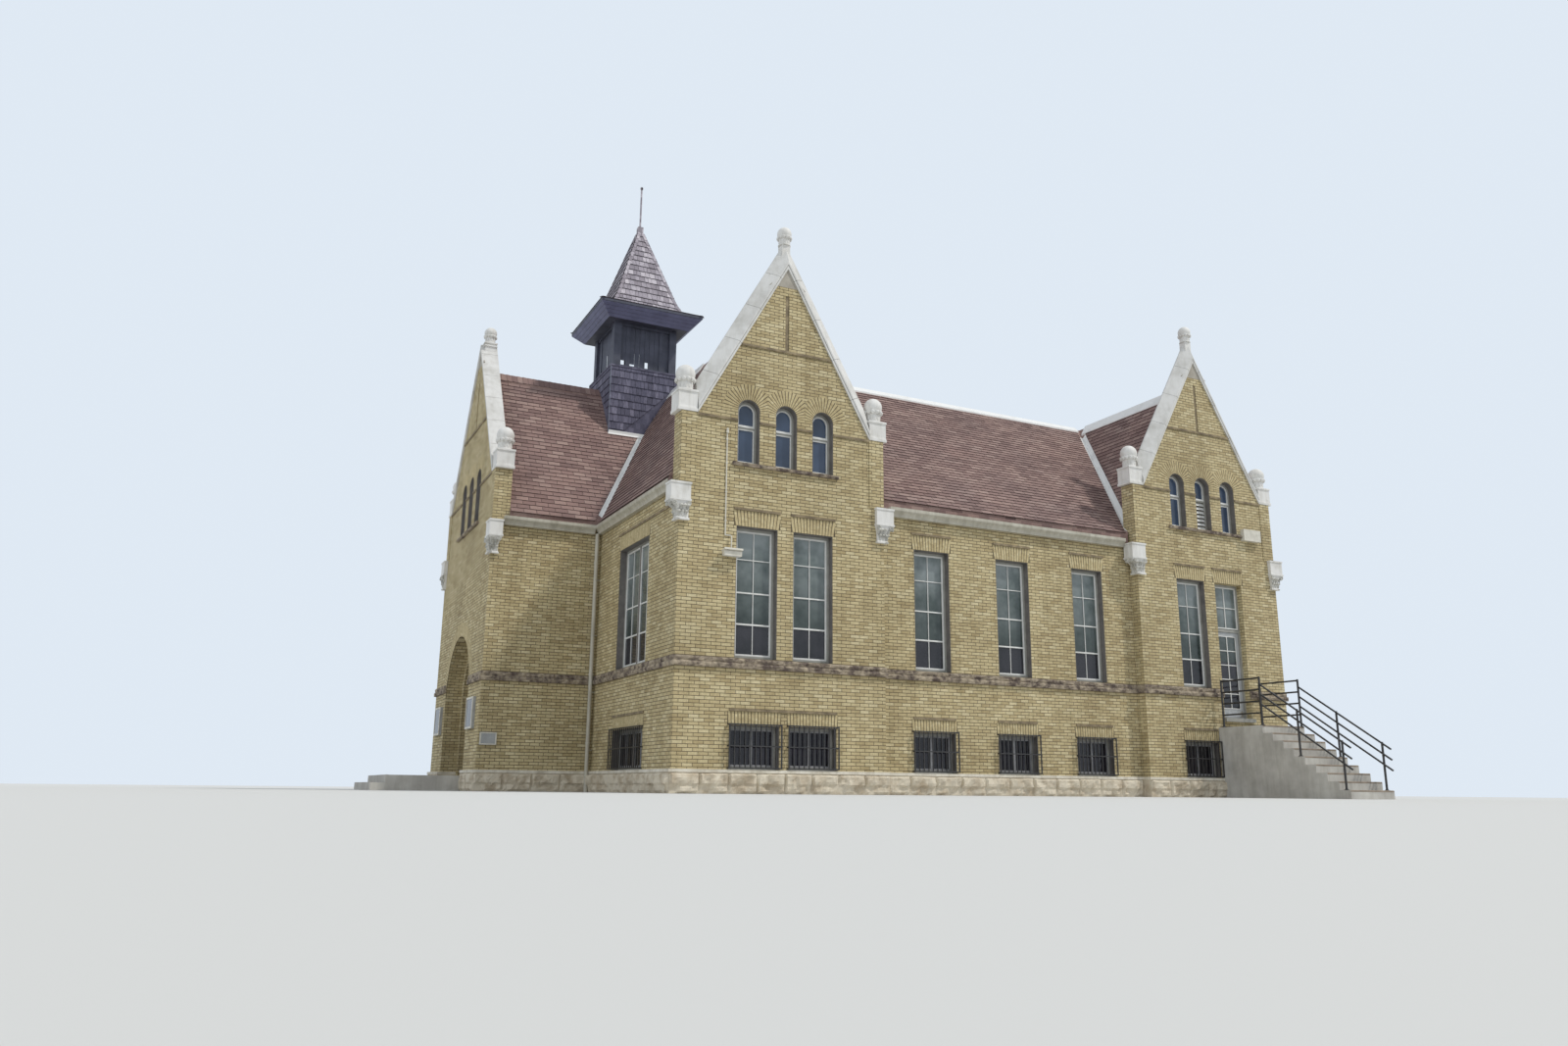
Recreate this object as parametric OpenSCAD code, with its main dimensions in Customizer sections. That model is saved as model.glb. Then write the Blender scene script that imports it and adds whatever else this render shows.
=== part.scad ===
// Brick town hall with two gabled front pavilions, a left wing with its own
// gable and portal, and a shingled belfry. Millimetres, Z up, ground at Z = 0.
// The origin is the outer front left corner of the left pavilion, on the ground.
// X runs along the front to the right, Y runs from the front to the back.

/* [Plan] */
// Width of each gabled pavilion
wing_w = 4700; // [3800:10:6000]
// Length of the main front between the two pavilions
main_l = 7150; // [6200:10:12000]
// Depth of the main block between its wall faces
main_d = 8400; // [6500:10:11000]
// How far the pavilions stand in front of the main front
wing_step = 250; // [240:10:600]
// How far the left wing reaches past the left pavilion
left_l = 2550; // [2200:10:5000]
// How far the left wing's front stands behind the left pavilion's front
left_set = 5100; // [4200:10:6000]
// Depth of the left wing, which is the width of its gable
left_d = 5600; // [5200:10:7000]
// Thickness of the brick walls
wall_t = 380; // [300:5:450]

/* [Heights] */
// Top of the stone base's ledge above the ground
base_h = 450; // [400:10:900]
// Height of the pale ledge on the stone base
ledge_h = 60; // [30:5:120]
// How far the ledge stands out of the brick
ledge_out = 70; // [40:5:120]
// Top of the main floor above the ground
floor_z = 1890; // [1700:10:2200]
// Sill of the main windows above the ground
sill_z = 2590; // [2300:10:3000]
// Top of the attic floor above the ground
attic_z = 5800; // [5500:10:6000]
// Where the roofs' underside meets the outer wall faces
plate_z = 6080; // [5900:10:6400]
// Top of every ridge above the ground
ridge_z = 10480; // [9000:10:12000]
// Thickness of the floors
floor_t = 220; // [150:10:300]
// Upright thickness of the roof slopes
roof_t = 250; // [150:10:350]
// How far the roof slopes reach past the walls
eave_out = 60; // [30:5:100]

/* [Windows] */
// Width of a main window
win_w = 920; // [700:10:1100]
// Height of a main window
win_h = 2650; // [2000:10:2800]
// Distance between the two main bays of a pavilion, centre to centre
bay_gap = 1280; // [1220:10:1600]
// Distance between the bays of the main block, centre to centre
main_gap = 2200; // [1600:10:2600]
// Distance between the bays of the right pavilion's side, centre to centre
side_gap = 2500; // [1600:10:2800]
// Width of a basement window
low_w = 1080; // [700:10:1200]
// Height of a basement window
low_h = 840; // [500:10:1000]
// Width of the two-light windows in the left pavilion's side
side_win_w = 1900; // [1200:10:2400]
// Centre of the two-light windows behind the pavilion's front
side_win_y = 2600; // [2300:10:2800]
// Width of an arched attic window
arch_w = 500; // [350:10:600]
// Height of an arched attic window up to its crown
arch_h = 1380; // [1100:10:1500]
// Distance between the arched windows, centre to centre
arch_gap = 865; // [700:5:1000]
// Sill of the arched windows below the kneelers of their gable
arch_drop = 930; // [800:10:1100]
// Height of an arched window's crossbar above its sill
arch_bar = 780; // [600:10:850]
// How deep the frames stand in the walls
reveal = 150; // [100:5:200]
// Width of a frame's members
frame_w = 60; // [40:5:90]
// Depth of the frames, front to back
frame_t = 70; // [50:5:90]
// Thickness of the glass
glass_t = 8; // [4:1:20]
// Height of the brick heads over the main windows
head_h = 330; // [200:10:400]
// Height of the brick heads over the basement windows
low_head_h = 270; // [150:10:400]
// Height of a raised label or string course
label_h = 50; // [30:5:80]
// How far a label or string course stands out
label_out = 25; // [10:5:50]
// Width of the bars of the basement grilles
grille_bar = 18; // [12:1:30]
// How far the grilles stand off the wall
grille_off = 70; // [40:5:120]

/* [Gables] */
// Kneeler height of the pavilions' gables above the ground
kneel_z = 7490; // [7200:10:8000]
// Kneeler height of the left wing's gable above the ground
left_kneel_z = 7230; // [7100:10:7800]
// How far the brick apex of a gable stands over the ridge
apex_rise = 580; // [400:10:1200]
// Width of the corner pilasters
pilaster_w = 350; // [280:10:450]
// How far the pilasters stand out of the gable
pilaster_out = 15; // [10:5:40]
// Height of the copings' upright edge
coping_edge = 55; // [40:5:120]
// Rise of the copings' weathered top over that edge
coping_rise = 200; // [60:5:240]
// How far the copings stand out of the brick, front and back
coping_out = 45; // [20:5:80]
// Diameter of the corner pinnacles' balls
ball_d = 400; // [300:10:460]
// Diameter of the apex finials' balls
finial_d = 320; // [240:10:360]

/* [Portal] */
// Clear width of the portal in the left wing's gable wall
portal_w = 2800; // [2400:10:3000]
// Height of the portal's arch springing above the ground
portal_spring = 2250; // [1900:10:2400]
// Depth of each of the portal's recessed orders
order_d = 330; // [200:10:400]
// How far each order stands in from the one before
order_in = 220; // [150:10:300]
// Height of the portal's floor and of the landing before it
portal_floor = 330; // [250:10:380]
// How far the landing before the portal reaches out
portal_out = 1600; // [900:10:2400]

/* [Belfry] */
// Centre of the belfry along the front
tower_x = 1580; // [1300:10:1900]
// Side of the square shingled base
tower_w = 1880; // [1600:10:2100]
// How far the shingled base rises above the ridges
tower_rise = 500; // [220:10:1500]
// Side of the square bell stage
bell_w = 1760; // [1500:10:2000]
// Height of the open bell stage up to its soffit
bell_h = 1250; // [700:10:1500]
// Half the width of the flat soffit over the bell stage
soffit_half = 1110; // [1000:10:1300]
// Half the width of the flared eave
flare_half = 1420; // [1200:10:1700]
// Height of the flared boards from the soffit up to the eave's edge
flare_h = 300; // [150:10:800]
// Height of the pyramid roof over the eave's edge
spire_h = 2780; // [2000:10:3500]
// Height of the rod over the spire's box
rod_h = 1230; // [600:10:2000]

/* [Side door and steps] */
// Height of the side door's leaf
door_h = 2150; // [1900:10:2300]
// Gap between the door's leaf and its frame
door_gap = 6; // [5:1:10]
// Radius of the door hinge knuckles
hinge_r = 8; // [6:1:12]
// Length of the middle knuckle of each door hinge
hinge_l = 50; // [30:5:80]
// Number of risers from the ground to the landing
step_n = 9; // [7:1:12]
// Depth of one tread
tread = 270; // [240:5:320]
// Width of the landing and of the steps
flight_w = 1400; // [1200:10:2000]
// How far the landing reaches out of the wall
landing_d = 1300; // [1100:10:1800]
// Height of the landing's top rails
rail_h = 1100; // [900:10:1150]
// Height of the sloping top rails over the nosings
slope_rail_h = 930; // [850:10:1000]
// Diameter of the rails
rail_d = 42; // [34:1:50]

/* [Hidden] */
wing_c_x = wing_w + main_l;
all_x = wing_c_x + wing_w;
main_y = wing_step;
main_back = main_y + main_d;
wing_c_back = main_back + wing_step;
left_back = left_set + left_d;
wing_a_back = left_back + wing_step;
ridge_a_x = wing_w / 2;
ridge_c_x = wing_c_x + wing_w / 2;
tower_y = left_set + left_d / 2;
tower_base_z = ridge_z + tower_rise;
band_h = 200;
band_z = sill_z - band_h - 10;
band_out = 50;
door_sill = floor_z;
landing_z = door_sill - 240;
step_h = landing_z / step_n;
apex_z = ridge_z + apex_rise;
bays = [wing_w / 2 - bay_gap / 2, wing_w / 2 + bay_gap / 2];
door_x = bays[1];
arches = [-arch_gap, 0, arch_gap];
main_bays = [main_l / 2 - main_gap, main_l / 2, main_l / 2 + main_gap];
side_bays = [wing_c_back / 2 - side_gap, wing_c_back / 2, wing_c_back / 2 + side_gap];
side_win_x = left_set - side_win_y;
left_bays = [left_l / 2];
// Top of the corbel blocks and how far they reach round a corner
block_top = 5985;
block_side = 235;
// Joint left between pieces that stand together, and a safe margin for cuts
joint = 0.3;
cut = 50;
brick = [0.80, 0.73, 0.52];
white = [0.88, 0.87, 0.82];
shingle = [0.42, 0.30, 0.27];

// Walls are drawn flat and set up by these. A wall's own X runs along its outer
// face, seen from outside from left to right, and its own Y into the building.
module on_wing_a()
    children();
module on_main()
    translate([wing_w, main_y, 0]) children();
module on_wing_c()
    translate([wing_c_x, 0, 0]) children();
module on_left_front()
    translate([-left_l, left_set, 0]) children();
module on_left_gable()
    translate([-left_l, left_back, 0]) rotate([0, 0, -90]) children();
module on_wing_a_side()
    translate([0, left_set, 0]) rotate([0, 0, -90]) children();
module on_wing_a_rear()
    translate([wing_w, wing_a_back, 0]) rotate([0, 0, 180]) children();
module on_left_rear()
    translate([0, left_back, 0]) rotate([0, 0, 180]) children();
module on_main_rear()
    translate([wing_c_x, main_back, 0]) rotate([0, 0, 180]) children();
module on_wing_c_rear()
    translate([all_x, wing_c_back, 0]) rotate([0, 0, 180]) children();
module on_wing_c_side()
    translate([all_x, 0, 0]) rotate([0, 0, 90]) children();
module on_wing_a_rear_side()
    translate([wing_w, main_back, 0]) rotate([0, 0, 90]) children();
// All five gables, each with its own width and kneeler height
module on_each_gable() {
    on_wing_a() gable_child(wing_w, kneel_z) children();
    on_wing_c() gable_child(wing_w, kneel_z) children();
    on_wing_a_rear() gable_child(wing_w, kneel_z) children();
    on_wing_c_rear() gable_child(wing_w, kneel_z) children();
    on_left_gable() gable_child(left_d, left_kneel_z) children();
}
module gable_child(w, kneel) {
    $gable_w = w;
    $gable_kneel = kneel;
    children();
}

// Block of a wall from x0 to x1 and z0 to z1
module slab(x0, x1, z0, z1, y0 = 0, y1 = wall_t) {
    translate([x0, y0, z0]) cube([x1 - x0, y1 - y0, z1 - z0]);
}
// Hole with a flat head, through the wall
module square_hole(x, z, w, h) {
    slab(x - w / 2, x + w / 2, z, z + h, -cut, wall_t + cut);
}
// Hole with a round head, through the wall
module arched_hole(x, z, w, h) {
    square_hole(x, z, w, h - w / 2);
    translate([x, wall_t + cut, z + h - w / 2])
        rotate([90, 0, 0]) cylinder(d = w, h = wall_t + 2 * cut);
}
module arch_holes(w, kneel) {
    for (a = arches) arched_hole(w / 2 + a, kneel - arch_drop, arch_w, arch_h);
}
module main_holes(xs) {
    for (x = xs) square_hole(x, sill_z, win_w, win_h);
}
module low_holes(xs) {
    for (x = xs) square_hole(x, base_h, low_w, low_h);
}
// Gable wall of width w with its corner pilasters
module gable_outline(w, kneel) {
    polygon([[0, base_h], [w, base_h], [w, kneel], [w - pilaster_w, kneel],
        [w / 2, apex_z], [pilaster_w, kneel], [0, kneel]]);
}
module gable_wall(w, kneel) {
    translate([0, wall_t, 0]) rotate([90, 0, 0])
        linear_extrude(wall_t) gable_outline(w, kneel);
    for (x = [0, w - pilaster_w])
        slab(x, x + pilaster_w, block_top, kneel, -pilaster_out, cut);
}
// Narrow sunk panel high in each gable
slot_w = 90;
slot_deep = 60;
slot_foot = 1560;
slot_head = 2950;
module gable_slot(w, kneel) {
    slab(w / 2 - slot_w / 2, w / 2 + slot_w / 2, kneel + slot_foot, kneel + slot_head,
        -cut, slot_deep);
}
// A gable with its attic windows and slot, for the front, the rear and the left
module pierced_gable(w, kneel) {
    difference() {
        gable_wall(w, kneel);
        gable_slot(w, kneel);
        arch_holes(w, kneel);
        children();
    }
}
module wing_gable() {
    pierced_gable(wing_w, kneel_z) {
        main_holes(bays);
        low_holes(bays);
    }
}

// The walls
module wing_a_front()
    color(brick) on_wing_a() wing_gable();
module wing_a_side() color(brick) on_wing_a_side() difference() {
    slab(0, left_set - wall_t - joint, base_h, plate_z);
    square_hole(side_win_x, sill_z, side_win_w, win_h);
    square_hole(side_win_x, base_h, side_win_w, low_h);
}
rear_side_l = wing_a_back - main_back - wall_t - joint;
module wing_a_rear() color(brick) {
    on_wing_a_rear() wing_gable();
    on_wing_a_rear_side() slab(-wall_t, rear_side_l, base_h, plate_z);
}
module left_front()
    color(brick) on_left_front() slab(wall_t + joint, left_l + wall_t, base_h, plate_z);
module left_gable() color(brick) on_left_gable() pierced_gable(left_d, left_kneel_z)
    arched_hole(left_d / 2, 0, portal_w, portal_spring + portal_w / 2);
module left_rear() color(brick) on_left_rear() difference() {
    slab(joint, left_l - wall_t - joint, base_h, plate_z);
    main_holes(left_bays);
    low_holes(left_bays);
}
module main_wall() difference() {
    slab(joint, main_l - joint, base_h, plate_z);
    main_holes(main_bays);
    low_holes(main_bays);
}
module main_front()
    color(brick) on_main() main_wall();
module main_rear()
    color(brick) on_main_rear() main_wall();
// The right pavilion's front is built in four pieces round its doorway
module wing_c_front() color(brick) on_wing_c() {
    head = sill_z + win_h;
    jambs = [door_x - win_w / 2, door_x + win_w / 2];
    pierced_gable(wing_w, kneel_z) {
        main_holes([bays[0]]);
        low_holes([bays[0]]);
        slab(jambs[0], jambs[1], door_sill, head, -cut, wall_t + cut);
        slab(-cut, wing_w + cut, head, head + joint, -cut, wall_t + cut);
        for (x = jambs) slab(x - joint / 2, x + joint / 2, 0, door_sill, -cut, wall_t + cut);
    }
}
module wing_c_side() color(brick) on_wing_c_side() difference() {
    slab(wall_t + joint, wing_c_back - wall_t - joint, base_h, plate_z);
    main_holes(side_bays);
    low_holes(side_bays);
}
module wing_c_rear()
    color(brick) on_wing_c_rear() wing_gable();

// The building's outline, grown by g
module plan(g = 0) {
    translate([-g, -g]) square([wing_w + 2 * g, wing_a_back + 2 * g]);
    translate([wing_c_x - g, -g]) square([wing_w + 2 * g, wing_c_back + 2 * g]);
    translate([wing_w, main_y - g]) square([main_l, main_d + 2 * g]);
    translate([-left_l - g, left_set - g]) square([left_l + g, left_d + 2 * g]);
}
// The rooms inside the walls, from left to right
module left_room(gap = 0)
    translate([-left_l + wall_t, left_set + wall_t])
        square([left_l - gap, left_d - 2 * wall_t]);
module room_a()
    translate([wall_t, wall_t]) square([wing_w - 2 * wall_t, wing_a_back - 2 * wall_t]);
module main_room(gap = 0)
    translate([wing_w - wall_t + gap, main_y + wall_t])
        square([main_l + 2 * wall_t - 2 * gap, main_d - 2 * wall_t]);
module room_c()
    translate([wing_c_x + wall_t, wall_t])
        square([wing_w - 2 * wall_t, wing_c_back - 2 * wall_t]);
// A ring round the rooms or round the walls is laid in straight runs, which
// meet at these joints
module run_joint(x0, y0, along_x, z = 0) {
    w = 2 * wall_t;
    translate([along_x ? x0 - w : x0 - joint / 2, along_x ? y0 - joint / 2 : y0 - w, z - cut])
        cube([along_x ? 2 * w : joint, along_x ? joint : 2 * w, plate_z]);
}
module run_joints(g) {
    run_joint(-g, wall_t, true);
    run_joint(-g, left_set, false);
    run_joint(-left_l, left_set + wall_t, true);
    run_joint(-left_l, left_back - wall_t, true);
    run_joint(-g, left_back, false);
    run_joint(wing_w, wing_a_back - wall_t, true);
    run_joint(wing_w + g, main_back, false);
    run_joint(wing_w + g, main_y, false);
    run_joint(wing_c_x - g, main_y, false);
    run_joint(wing_c_x - g, main_back, false);
    run_joint(all_x, wall_t, true);
    run_joint(all_x, wing_c_back - wall_t, true);
    run_joint(wing_w, wall_t, true);
    run_joint(wing_c_x, wall_t, true);
    run_joint(wing_c_x, wing_c_back - wall_t, true);
    run_joint(0, wing_a_back - wall_t, true);
}
module portal_gap(z0, z1)
    on_left_gable() slab(left_d / 2 - portal_w / 2, left_d / 2 + portal_w / 2,
        z0, z1, -4 * cut, wall_t + cut);
base_out = ledge_out - 20;
module base_ring(z0, z1, g) difference() {
    translate([0, 0, z0]) linear_extrude(z1 - z0) difference() {
        plan(g);
        left_room();
        room_a();
        main_room();
        room_c();
    }
    run_joints(g);
    portal_gap(z0 - cut, z1 + cut);
}
module stone_base()
    color([0.72, 0.68, 0.60]) base_ring(0, base_h - ledge_h, base_out);
module ledge()
    color([0.90, 0.87, 0.80]) base_ring(base_h - ledge_h, base_h, ledge_out);
// Floors, a slab to each room
module floor_slabs(z, t, with_left) {
    translate([0, 0, z - t]) linear_extrude(t) {
        if (with_left) left_room(joint);
        room_a();
        main_room(joint);
        room_c();
    }
}
ground_t = 120;
module ground_floor()
    color([0.60, 0.60, 0.58]) floor_slabs(ground_t, ground_t, true);
// The left wing has no main floor, because its portal opens into a stair hall
module main_floor()
    color([0.62, 0.52, 0.40]) floor_slabs(floor_z, floor_t, false);
module attic_floor()
    color([0.62, 0.52, 0.40]) floor_slabs(attic_z, floor_t, true);
// Rough stone band under the main windows, in two lifts, and the attic sills
sill_h = 70;
sill_out = 60;
sill_side = 110;
module stone_courses() color([0.50, 0.46, 0.40]) {
    difference() {
        for (lift = [1, 2]) translate([0, 0, band_z]) linear_extrude(lift * band_h / 2)
            difference() {
                plan(band_out / lift);
                plan();
            }
        on_wing_c() slab(door_x - win_w / 2, door_x + win_w / 2, 0, plate_z, -4 * cut, cut);
        portal_gap(0, plate_z);
        run_joints(band_out);
    }
    on_each_gable() {
        half = arch_gap + arch_w / 2 + sill_side;
        top = $gable_kneel - arch_drop;
        slab($gable_w / 2 - half, $gable_w / 2 + half, top - sill_h, top, -sill_out, 0);
    }
}
// Raised brick courses: labels over the windows, strings across the gables
module raised(x0, x1, z)
    slab(x0, x1, z, z + label_h, -label_out, 0);
label_side = 60;
module window_labels(xs) {
    for (x = xs) raised(x - win_w / 2 - label_side, x + win_w / 2 + label_side,
        sill_z + win_h + head_h);
}
module low_labels(xs) {
    for (x = xs) raised(x - low_w / 2, x + low_w / 2, base_h + low_h + low_head_h);
}
// String course through the arched windows, and one above them
string_low = -50;
string_high = 1630;
module gable_strings() {
    w = $gable_w;
    kneel = $gable_kneel;
    run = (string_high + label_h) * (w / 2 - pilaster_w) / (apex_z - kneel);
    difference() {
        raised(pilaster_w, w - pilaster_w, kneel + string_low);
        arch_holes(w, kneel);
    }
    raised(pilaster_w + run, w - pilaster_w - run, kneel + string_high);
}
module label_courses() color([0.72, 0.64, 0.44]) {
    on_wing_a() window_labels(bays);
    on_wing_a() raised(bays[0] - low_w / 2, bays[1] + low_w / 2,
        base_h + low_h + low_head_h);
    on_wing_a_rear() window_labels(bays);
    on_wing_a_rear() low_labels(bays);
    on_wing_c() window_labels(bays);
    on_wing_c() low_labels([bays[0]]);
    on_wing_c_rear() window_labels(bays);
    on_wing_c_rear() low_labels(bays);
    on_left_rear() window_labels(left_bays);
    on_left_rear() low_labels(left_bays);
    on_main() window_labels(main_bays);
    on_main() low_labels(main_bays);
    on_main_rear() window_labels(main_bays);
    on_main_rear() low_labels(main_bays);
    on_wing_c_side() window_labels(side_bays);
    on_wing_c_side() low_labels(side_bays);
    side_start = side_win_x - side_win_w / 2 - label_side;
    on_wing_a_side() {
        raised(side_start, side_win_x + side_win_w / 2 + label_side, base_h + low_h + low_head_h);
        // this one runs on to the corner's corbel block
        raised(side_start, left_set - block_side + block_lip - joint, sill_z + win_h + head_h);
    }
    on_each_gable() gable_strings();
}

// Roofs: the four of them share one ridge height
function slope(w) = (ridge_z - roof_t - plate_z) / (w / 2);
deep = 3000;
// Outline of everything under a surface t over a roof's underside, over a span of w
module roof_outline(w, t) {
    low = plate_z + t - slope(w) * eave_out;
    polygon([[-eave_out, low - deep], [-eave_out, low], [w / 2, ridge_z - roof_t + t],
        [w + eave_out, low], [w + eave_out, low - deep]]);
}
// A roof outline drawn along Y, and the same along X
module along_y(y0, y1)
    translate([0, y1, 0]) rotate([90, 0, 0]) linear_extrude(y1 - y0) children();
module along_x(x0, x1)
    translate([x0, 0, 0]) rotate([90, 0, 90]) linear_extrude(x1 - x0) children();
past = 500;
module a_under(t)
    along_y(-past, wing_a_back + past) roof_outline(wing_w, t);
module c_under(t)
    translate([wing_c_x, 0, 0]) along_y(-past, wing_c_back + past) roof_outline(wing_w, t);
module main_under(t)
    translate([0, main_y, 0]) along_x(ridge_a_x, ridge_c_x) roof_outline(main_d, t);
module left_under(t)
    translate([0, left_set, 0]) along_x(-left_l - past, ridge_a_x) roof_outline(left_d, t);
// Skin between two heights t0 and t1 over a roof's underside
module skin_outline(w, t0, t1) {
    low = plate_z - slope(w) * eave_out;
    top = ridge_z - roof_t;
    polygon([[-eave_out, low + t0], [w / 2, top + t0], [w + eave_out, low + t0],
        [w + eave_out, low + t1], [w / 2, top + t1], [-eave_out, low + t1]]);
}
// The gable walls' room, which no roof enters
module gable_rooms() {
    t = wall_t + joint;
    tall = apex_z - base_h;
    for (x = [0, wing_c_x]) translate([x, 0, base_h]) cube([wing_w, t, tall]);
    translate([0, wing_a_back - t, base_h]) cube([wing_w, t, tall]);
    translate([wing_c_x, wing_c_back - t, base_h]) cube([wing_w, t, tall]);
    translate([-left_l, left_set, base_h]) cube([t, left_d, tall]);
}
module tower_column(g = 0) {
    side = tower_w + 2 * g;
    translate([tower_x - side / 2, tower_y - side / 2, plate_z - floor_t])
        cube([side, side, tower_base_z - plate_z + floor_t]);
}
// Each slope is a piece of its own, and is split where another ridge meets it
module roof_joint(x0, x1, y0, y1)
    translate([x0 - joint / 2, y0 - joint / 2, plate_z - past])
        cube([x1 - x0 + joint, y1 - y0 + joint, ridge_z]);
main_ridge = main_y + main_d / 2;
module roof_wing_a() color(shingle) difference() {
    along_y(wall_t + joint, wing_a_back - wall_t - joint) skin_outline(wing_w, 0, roof_t);
    main_under(0);
    left_under(0);
    roof_joint(ridge_a_x, ridge_a_x, 0, wing_a_back);
    roof_joint(ridge_a_x, wing_w + past, main_ridge, main_ridge);
    roof_joint(-past, ridge_a_x, tower_y, tower_y);
}
module roof_wing_c() color(shingle) difference() {
    translate([wing_c_x, 0, 0]) along_y(wall_t + joint, wing_c_back - wall_t - joint)
        skin_outline(wing_w, 0, roof_t);
    main_under(0);
    roof_joint(ridge_c_x, ridge_c_x, 0, wing_c_back);
    roof_joint(wing_c_x - past, ridge_c_x, main_ridge, main_ridge);
}
module roof_main() color(shingle) difference() {
    translate([0, main_y, 0]) along_x(ridge_a_x, ridge_c_x) skin_outline(main_d, 0, roof_t);
    a_under(roof_t + joint);
    c_under(roof_t + joint);
    gable_rooms();
    roof_joint(0, all_x, main_ridge, main_ridge);
}
// The left roof's ridge is capped with shingles instead of metal
module roof_left() color(shingle) {
    difference() {
        translate([0, left_set, 0]) along_x(-left_l + wall_t + joint, ridge_a_x)
            skin_outline(left_d, 0, roof_t);
        a_under(roof_t + joint);
        gable_rooms();
        roof_joint(-left_l, ridge_a_x, tower_y, tower_y);
    }
    translate([0, left_set, 0]) along_x(-left_l + wall_t + joint,
        tower_x - tower_w / 2 - joint) cap(left_d);
}
// White metal ridge caps, with gaps where two ridges cross, and valley strips
cap_w = 150;
cap_t = 60;
cap_clear = 2;
cap_gap = cap_w * slope(wing_w) / slope(main_d) + cap_clear;
module cap(w) {
    drop = cap_w * slope(w);
    translate([w / 2, ridge_z + joint])
        polygon([[-cap_w, -drop], [0, 0], [cap_w, -drop], [cap_w, cap_t - drop], [0, cap_t],
            [-cap_w, cap_t - drop]]);
}
valley_w = 80;
valley_t = 6;
valley_start = 460;
// A strip on each side of a valley that runs from a crossing of ridges to a
// wall corner; the first child lies left of that line and the second right of it
module valley(from, to) {
    len = norm(to - from);
    turn = atan2(to[1] - from[1], to[0] - from[0]);
    for (k = [0, 1]) difference() {
        intersection() {
            children(k);
            translate([from[0], from[1], plate_z - past]) rotate([0, 0, turn])
                translate([valley_start, k == 0 ? joint : -joint - valley_w, 0])
                    cube([len - valley_start, valley_w, ridge_z]);
        }
        tower_column(joint);
        gable_rooms();
    }
}
module skin_a()
    along_y(0, wing_a_back) skin_outline(wing_w, roof_t + joint, roof_t + valley_t);
module skin_c()
    translate([wing_c_x, 0, 0]) along_y(0, wing_c_back)
        skin_outline(wing_w, roof_t + joint, roof_t + valley_t);
module skin_main()
    translate([0, main_y, 0]) along_x(0, all_x)
        skin_outline(main_d, roof_t + joint, roof_t + valley_t);
module skin_left()
    translate([0, left_set, 0]) along_x(-left_l, ridge_a_x)
        skin_outline(left_d, roof_t + joint, roof_t + valley_t);
module roof_flashings() color([0.85, 0.85, 0.83]) {
    tower_front = tower_y - tower_w / 2 - joint;
    along_y(wall_t + joint, main_ridge - cap_gap) cap(wing_w);
    along_y(main_ridge + cap_gap, tower_front) cap(wing_w);
    along_y(tower_front + tower_w + 2 * joint, wing_a_back - wall_t - joint) cap(wing_w);
    translate([0, main_y, 0]) along_x(ridge_a_x + cap_w, ridge_c_x - cap_w) cap(main_d);
    translate([wing_c_x, 0, 0]) along_y(wall_t + joint, main_ridge - cap_gap) cap(wing_w);
    translate([wing_c_x, 0, 0]) along_y(main_ridge + cap_gap, wing_c_back - wall_t - joint)
        cap(wing_w);
    cross_a = [ridge_a_x, main_ridge];
    cross_c = [ridge_c_x, main_ridge];
    cross_left = [ridge_a_x, tower_y];
    valley(cross_a, [wing_w, main_y]) { skin_main(); skin_a(); }
    valley(cross_a, [wing_w, main_back]) { skin_a(); skin_main(); }
    valley(cross_c, [wing_c_x, main_y]) { skin_c(); skin_main(); }
    valley(cross_c, [wing_c_x, main_back]) { skin_main(); skin_c(); }
    valley(cross_left, [0, left_set]) { skin_a(); skin_left(); }
    valley(cross_left, [0, left_back]) { skin_left(); skin_a(); }
}
// Box gutter under a roof's edge along a wall from x0 to x1, for a span of w
gut_out = 170;
gut_low = 180;
gut_lip = 12;
gut_deep = 45;
module gutter(x0, x1, w) {
    under = plate_z - slope(w) * eave_out - joint;
    foot = plate_z - gut_low;
    rim = plate_z + 20;
    edge = eave_out + joint;
    along_x(x0, x1) polygon([[0, foot], [-edge - 35, foot], [-edge - 35, foot + 25],
        [-edge - 48, foot + 60], [-edge - 75, foot + 95], [-gut_out + 12, foot + 115],
        [-gut_out, foot + 135], [-gut_out, rim], [-gut_out + gut_lip, rim],
        [-gut_out + gut_lip, rim - gut_deep], [-edge - gut_lip, rim - gut_deep],
        [-edge - gut_lip, rim], [-edge, rim], [-edge, under], [0, under]]);
}
spout_d = 90;
module gutters() color([0.75, 0.74, 0.68]) {
    turn = gut_out + joint;
    start = eave_out + joint;
    end = block_side + joint;
    on_main() gutter(end, main_l - end, main_d);
    on_main_rear() gutter(end, main_l - turn, main_d);
    on_wing_a_side() gutter(start, left_set - end, wing_w);
    on_left_front() gutter(end, left_l - turn, left_d);
    on_wing_c_side() gutter(end, wing_c_back - end, wing_w);
    on_left_rear() gutter(end, left_l - end, left_d);
    on_wing_a_rear_side() gutter(start, wing_a_back - main_back - end, wing_w);
    // the downspout in the corner of the left wing, standing on the ground
    off = ledge_out + spout_d / 2 + joint;
    translate([-off, left_set - off, 0]) {
        cylinder(d = spout_d, h = plate_z - gut_low - joint);
        for (z = [base_h + 600, sill_z, plate_z - 900])
            translate([0, 0, z]) cylinder(d = spout_d + 24, h = 40);
    }
}

// Gable dress
// Section of the weathered copings, drawn square to the slope
coping_foot = 20;
module coping_section() {
    half = wall_t / 2;
    groove = 6;
    side = half + coping_out;
    edge = coping_foot + coping_edge;
    polygon([[-half, joint], [half, joint], [side - groove, coping_foot], [side, coping_foot + groove],
        [side, edge], [coping_foot, edge + coping_rise], [-coping_foot, edge + coping_rise],
        [-side, edge], [-side, coping_foot + groove], [-side + groove, coping_foot]]);
}
finial_w = 200;
finial_h = 590;
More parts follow.
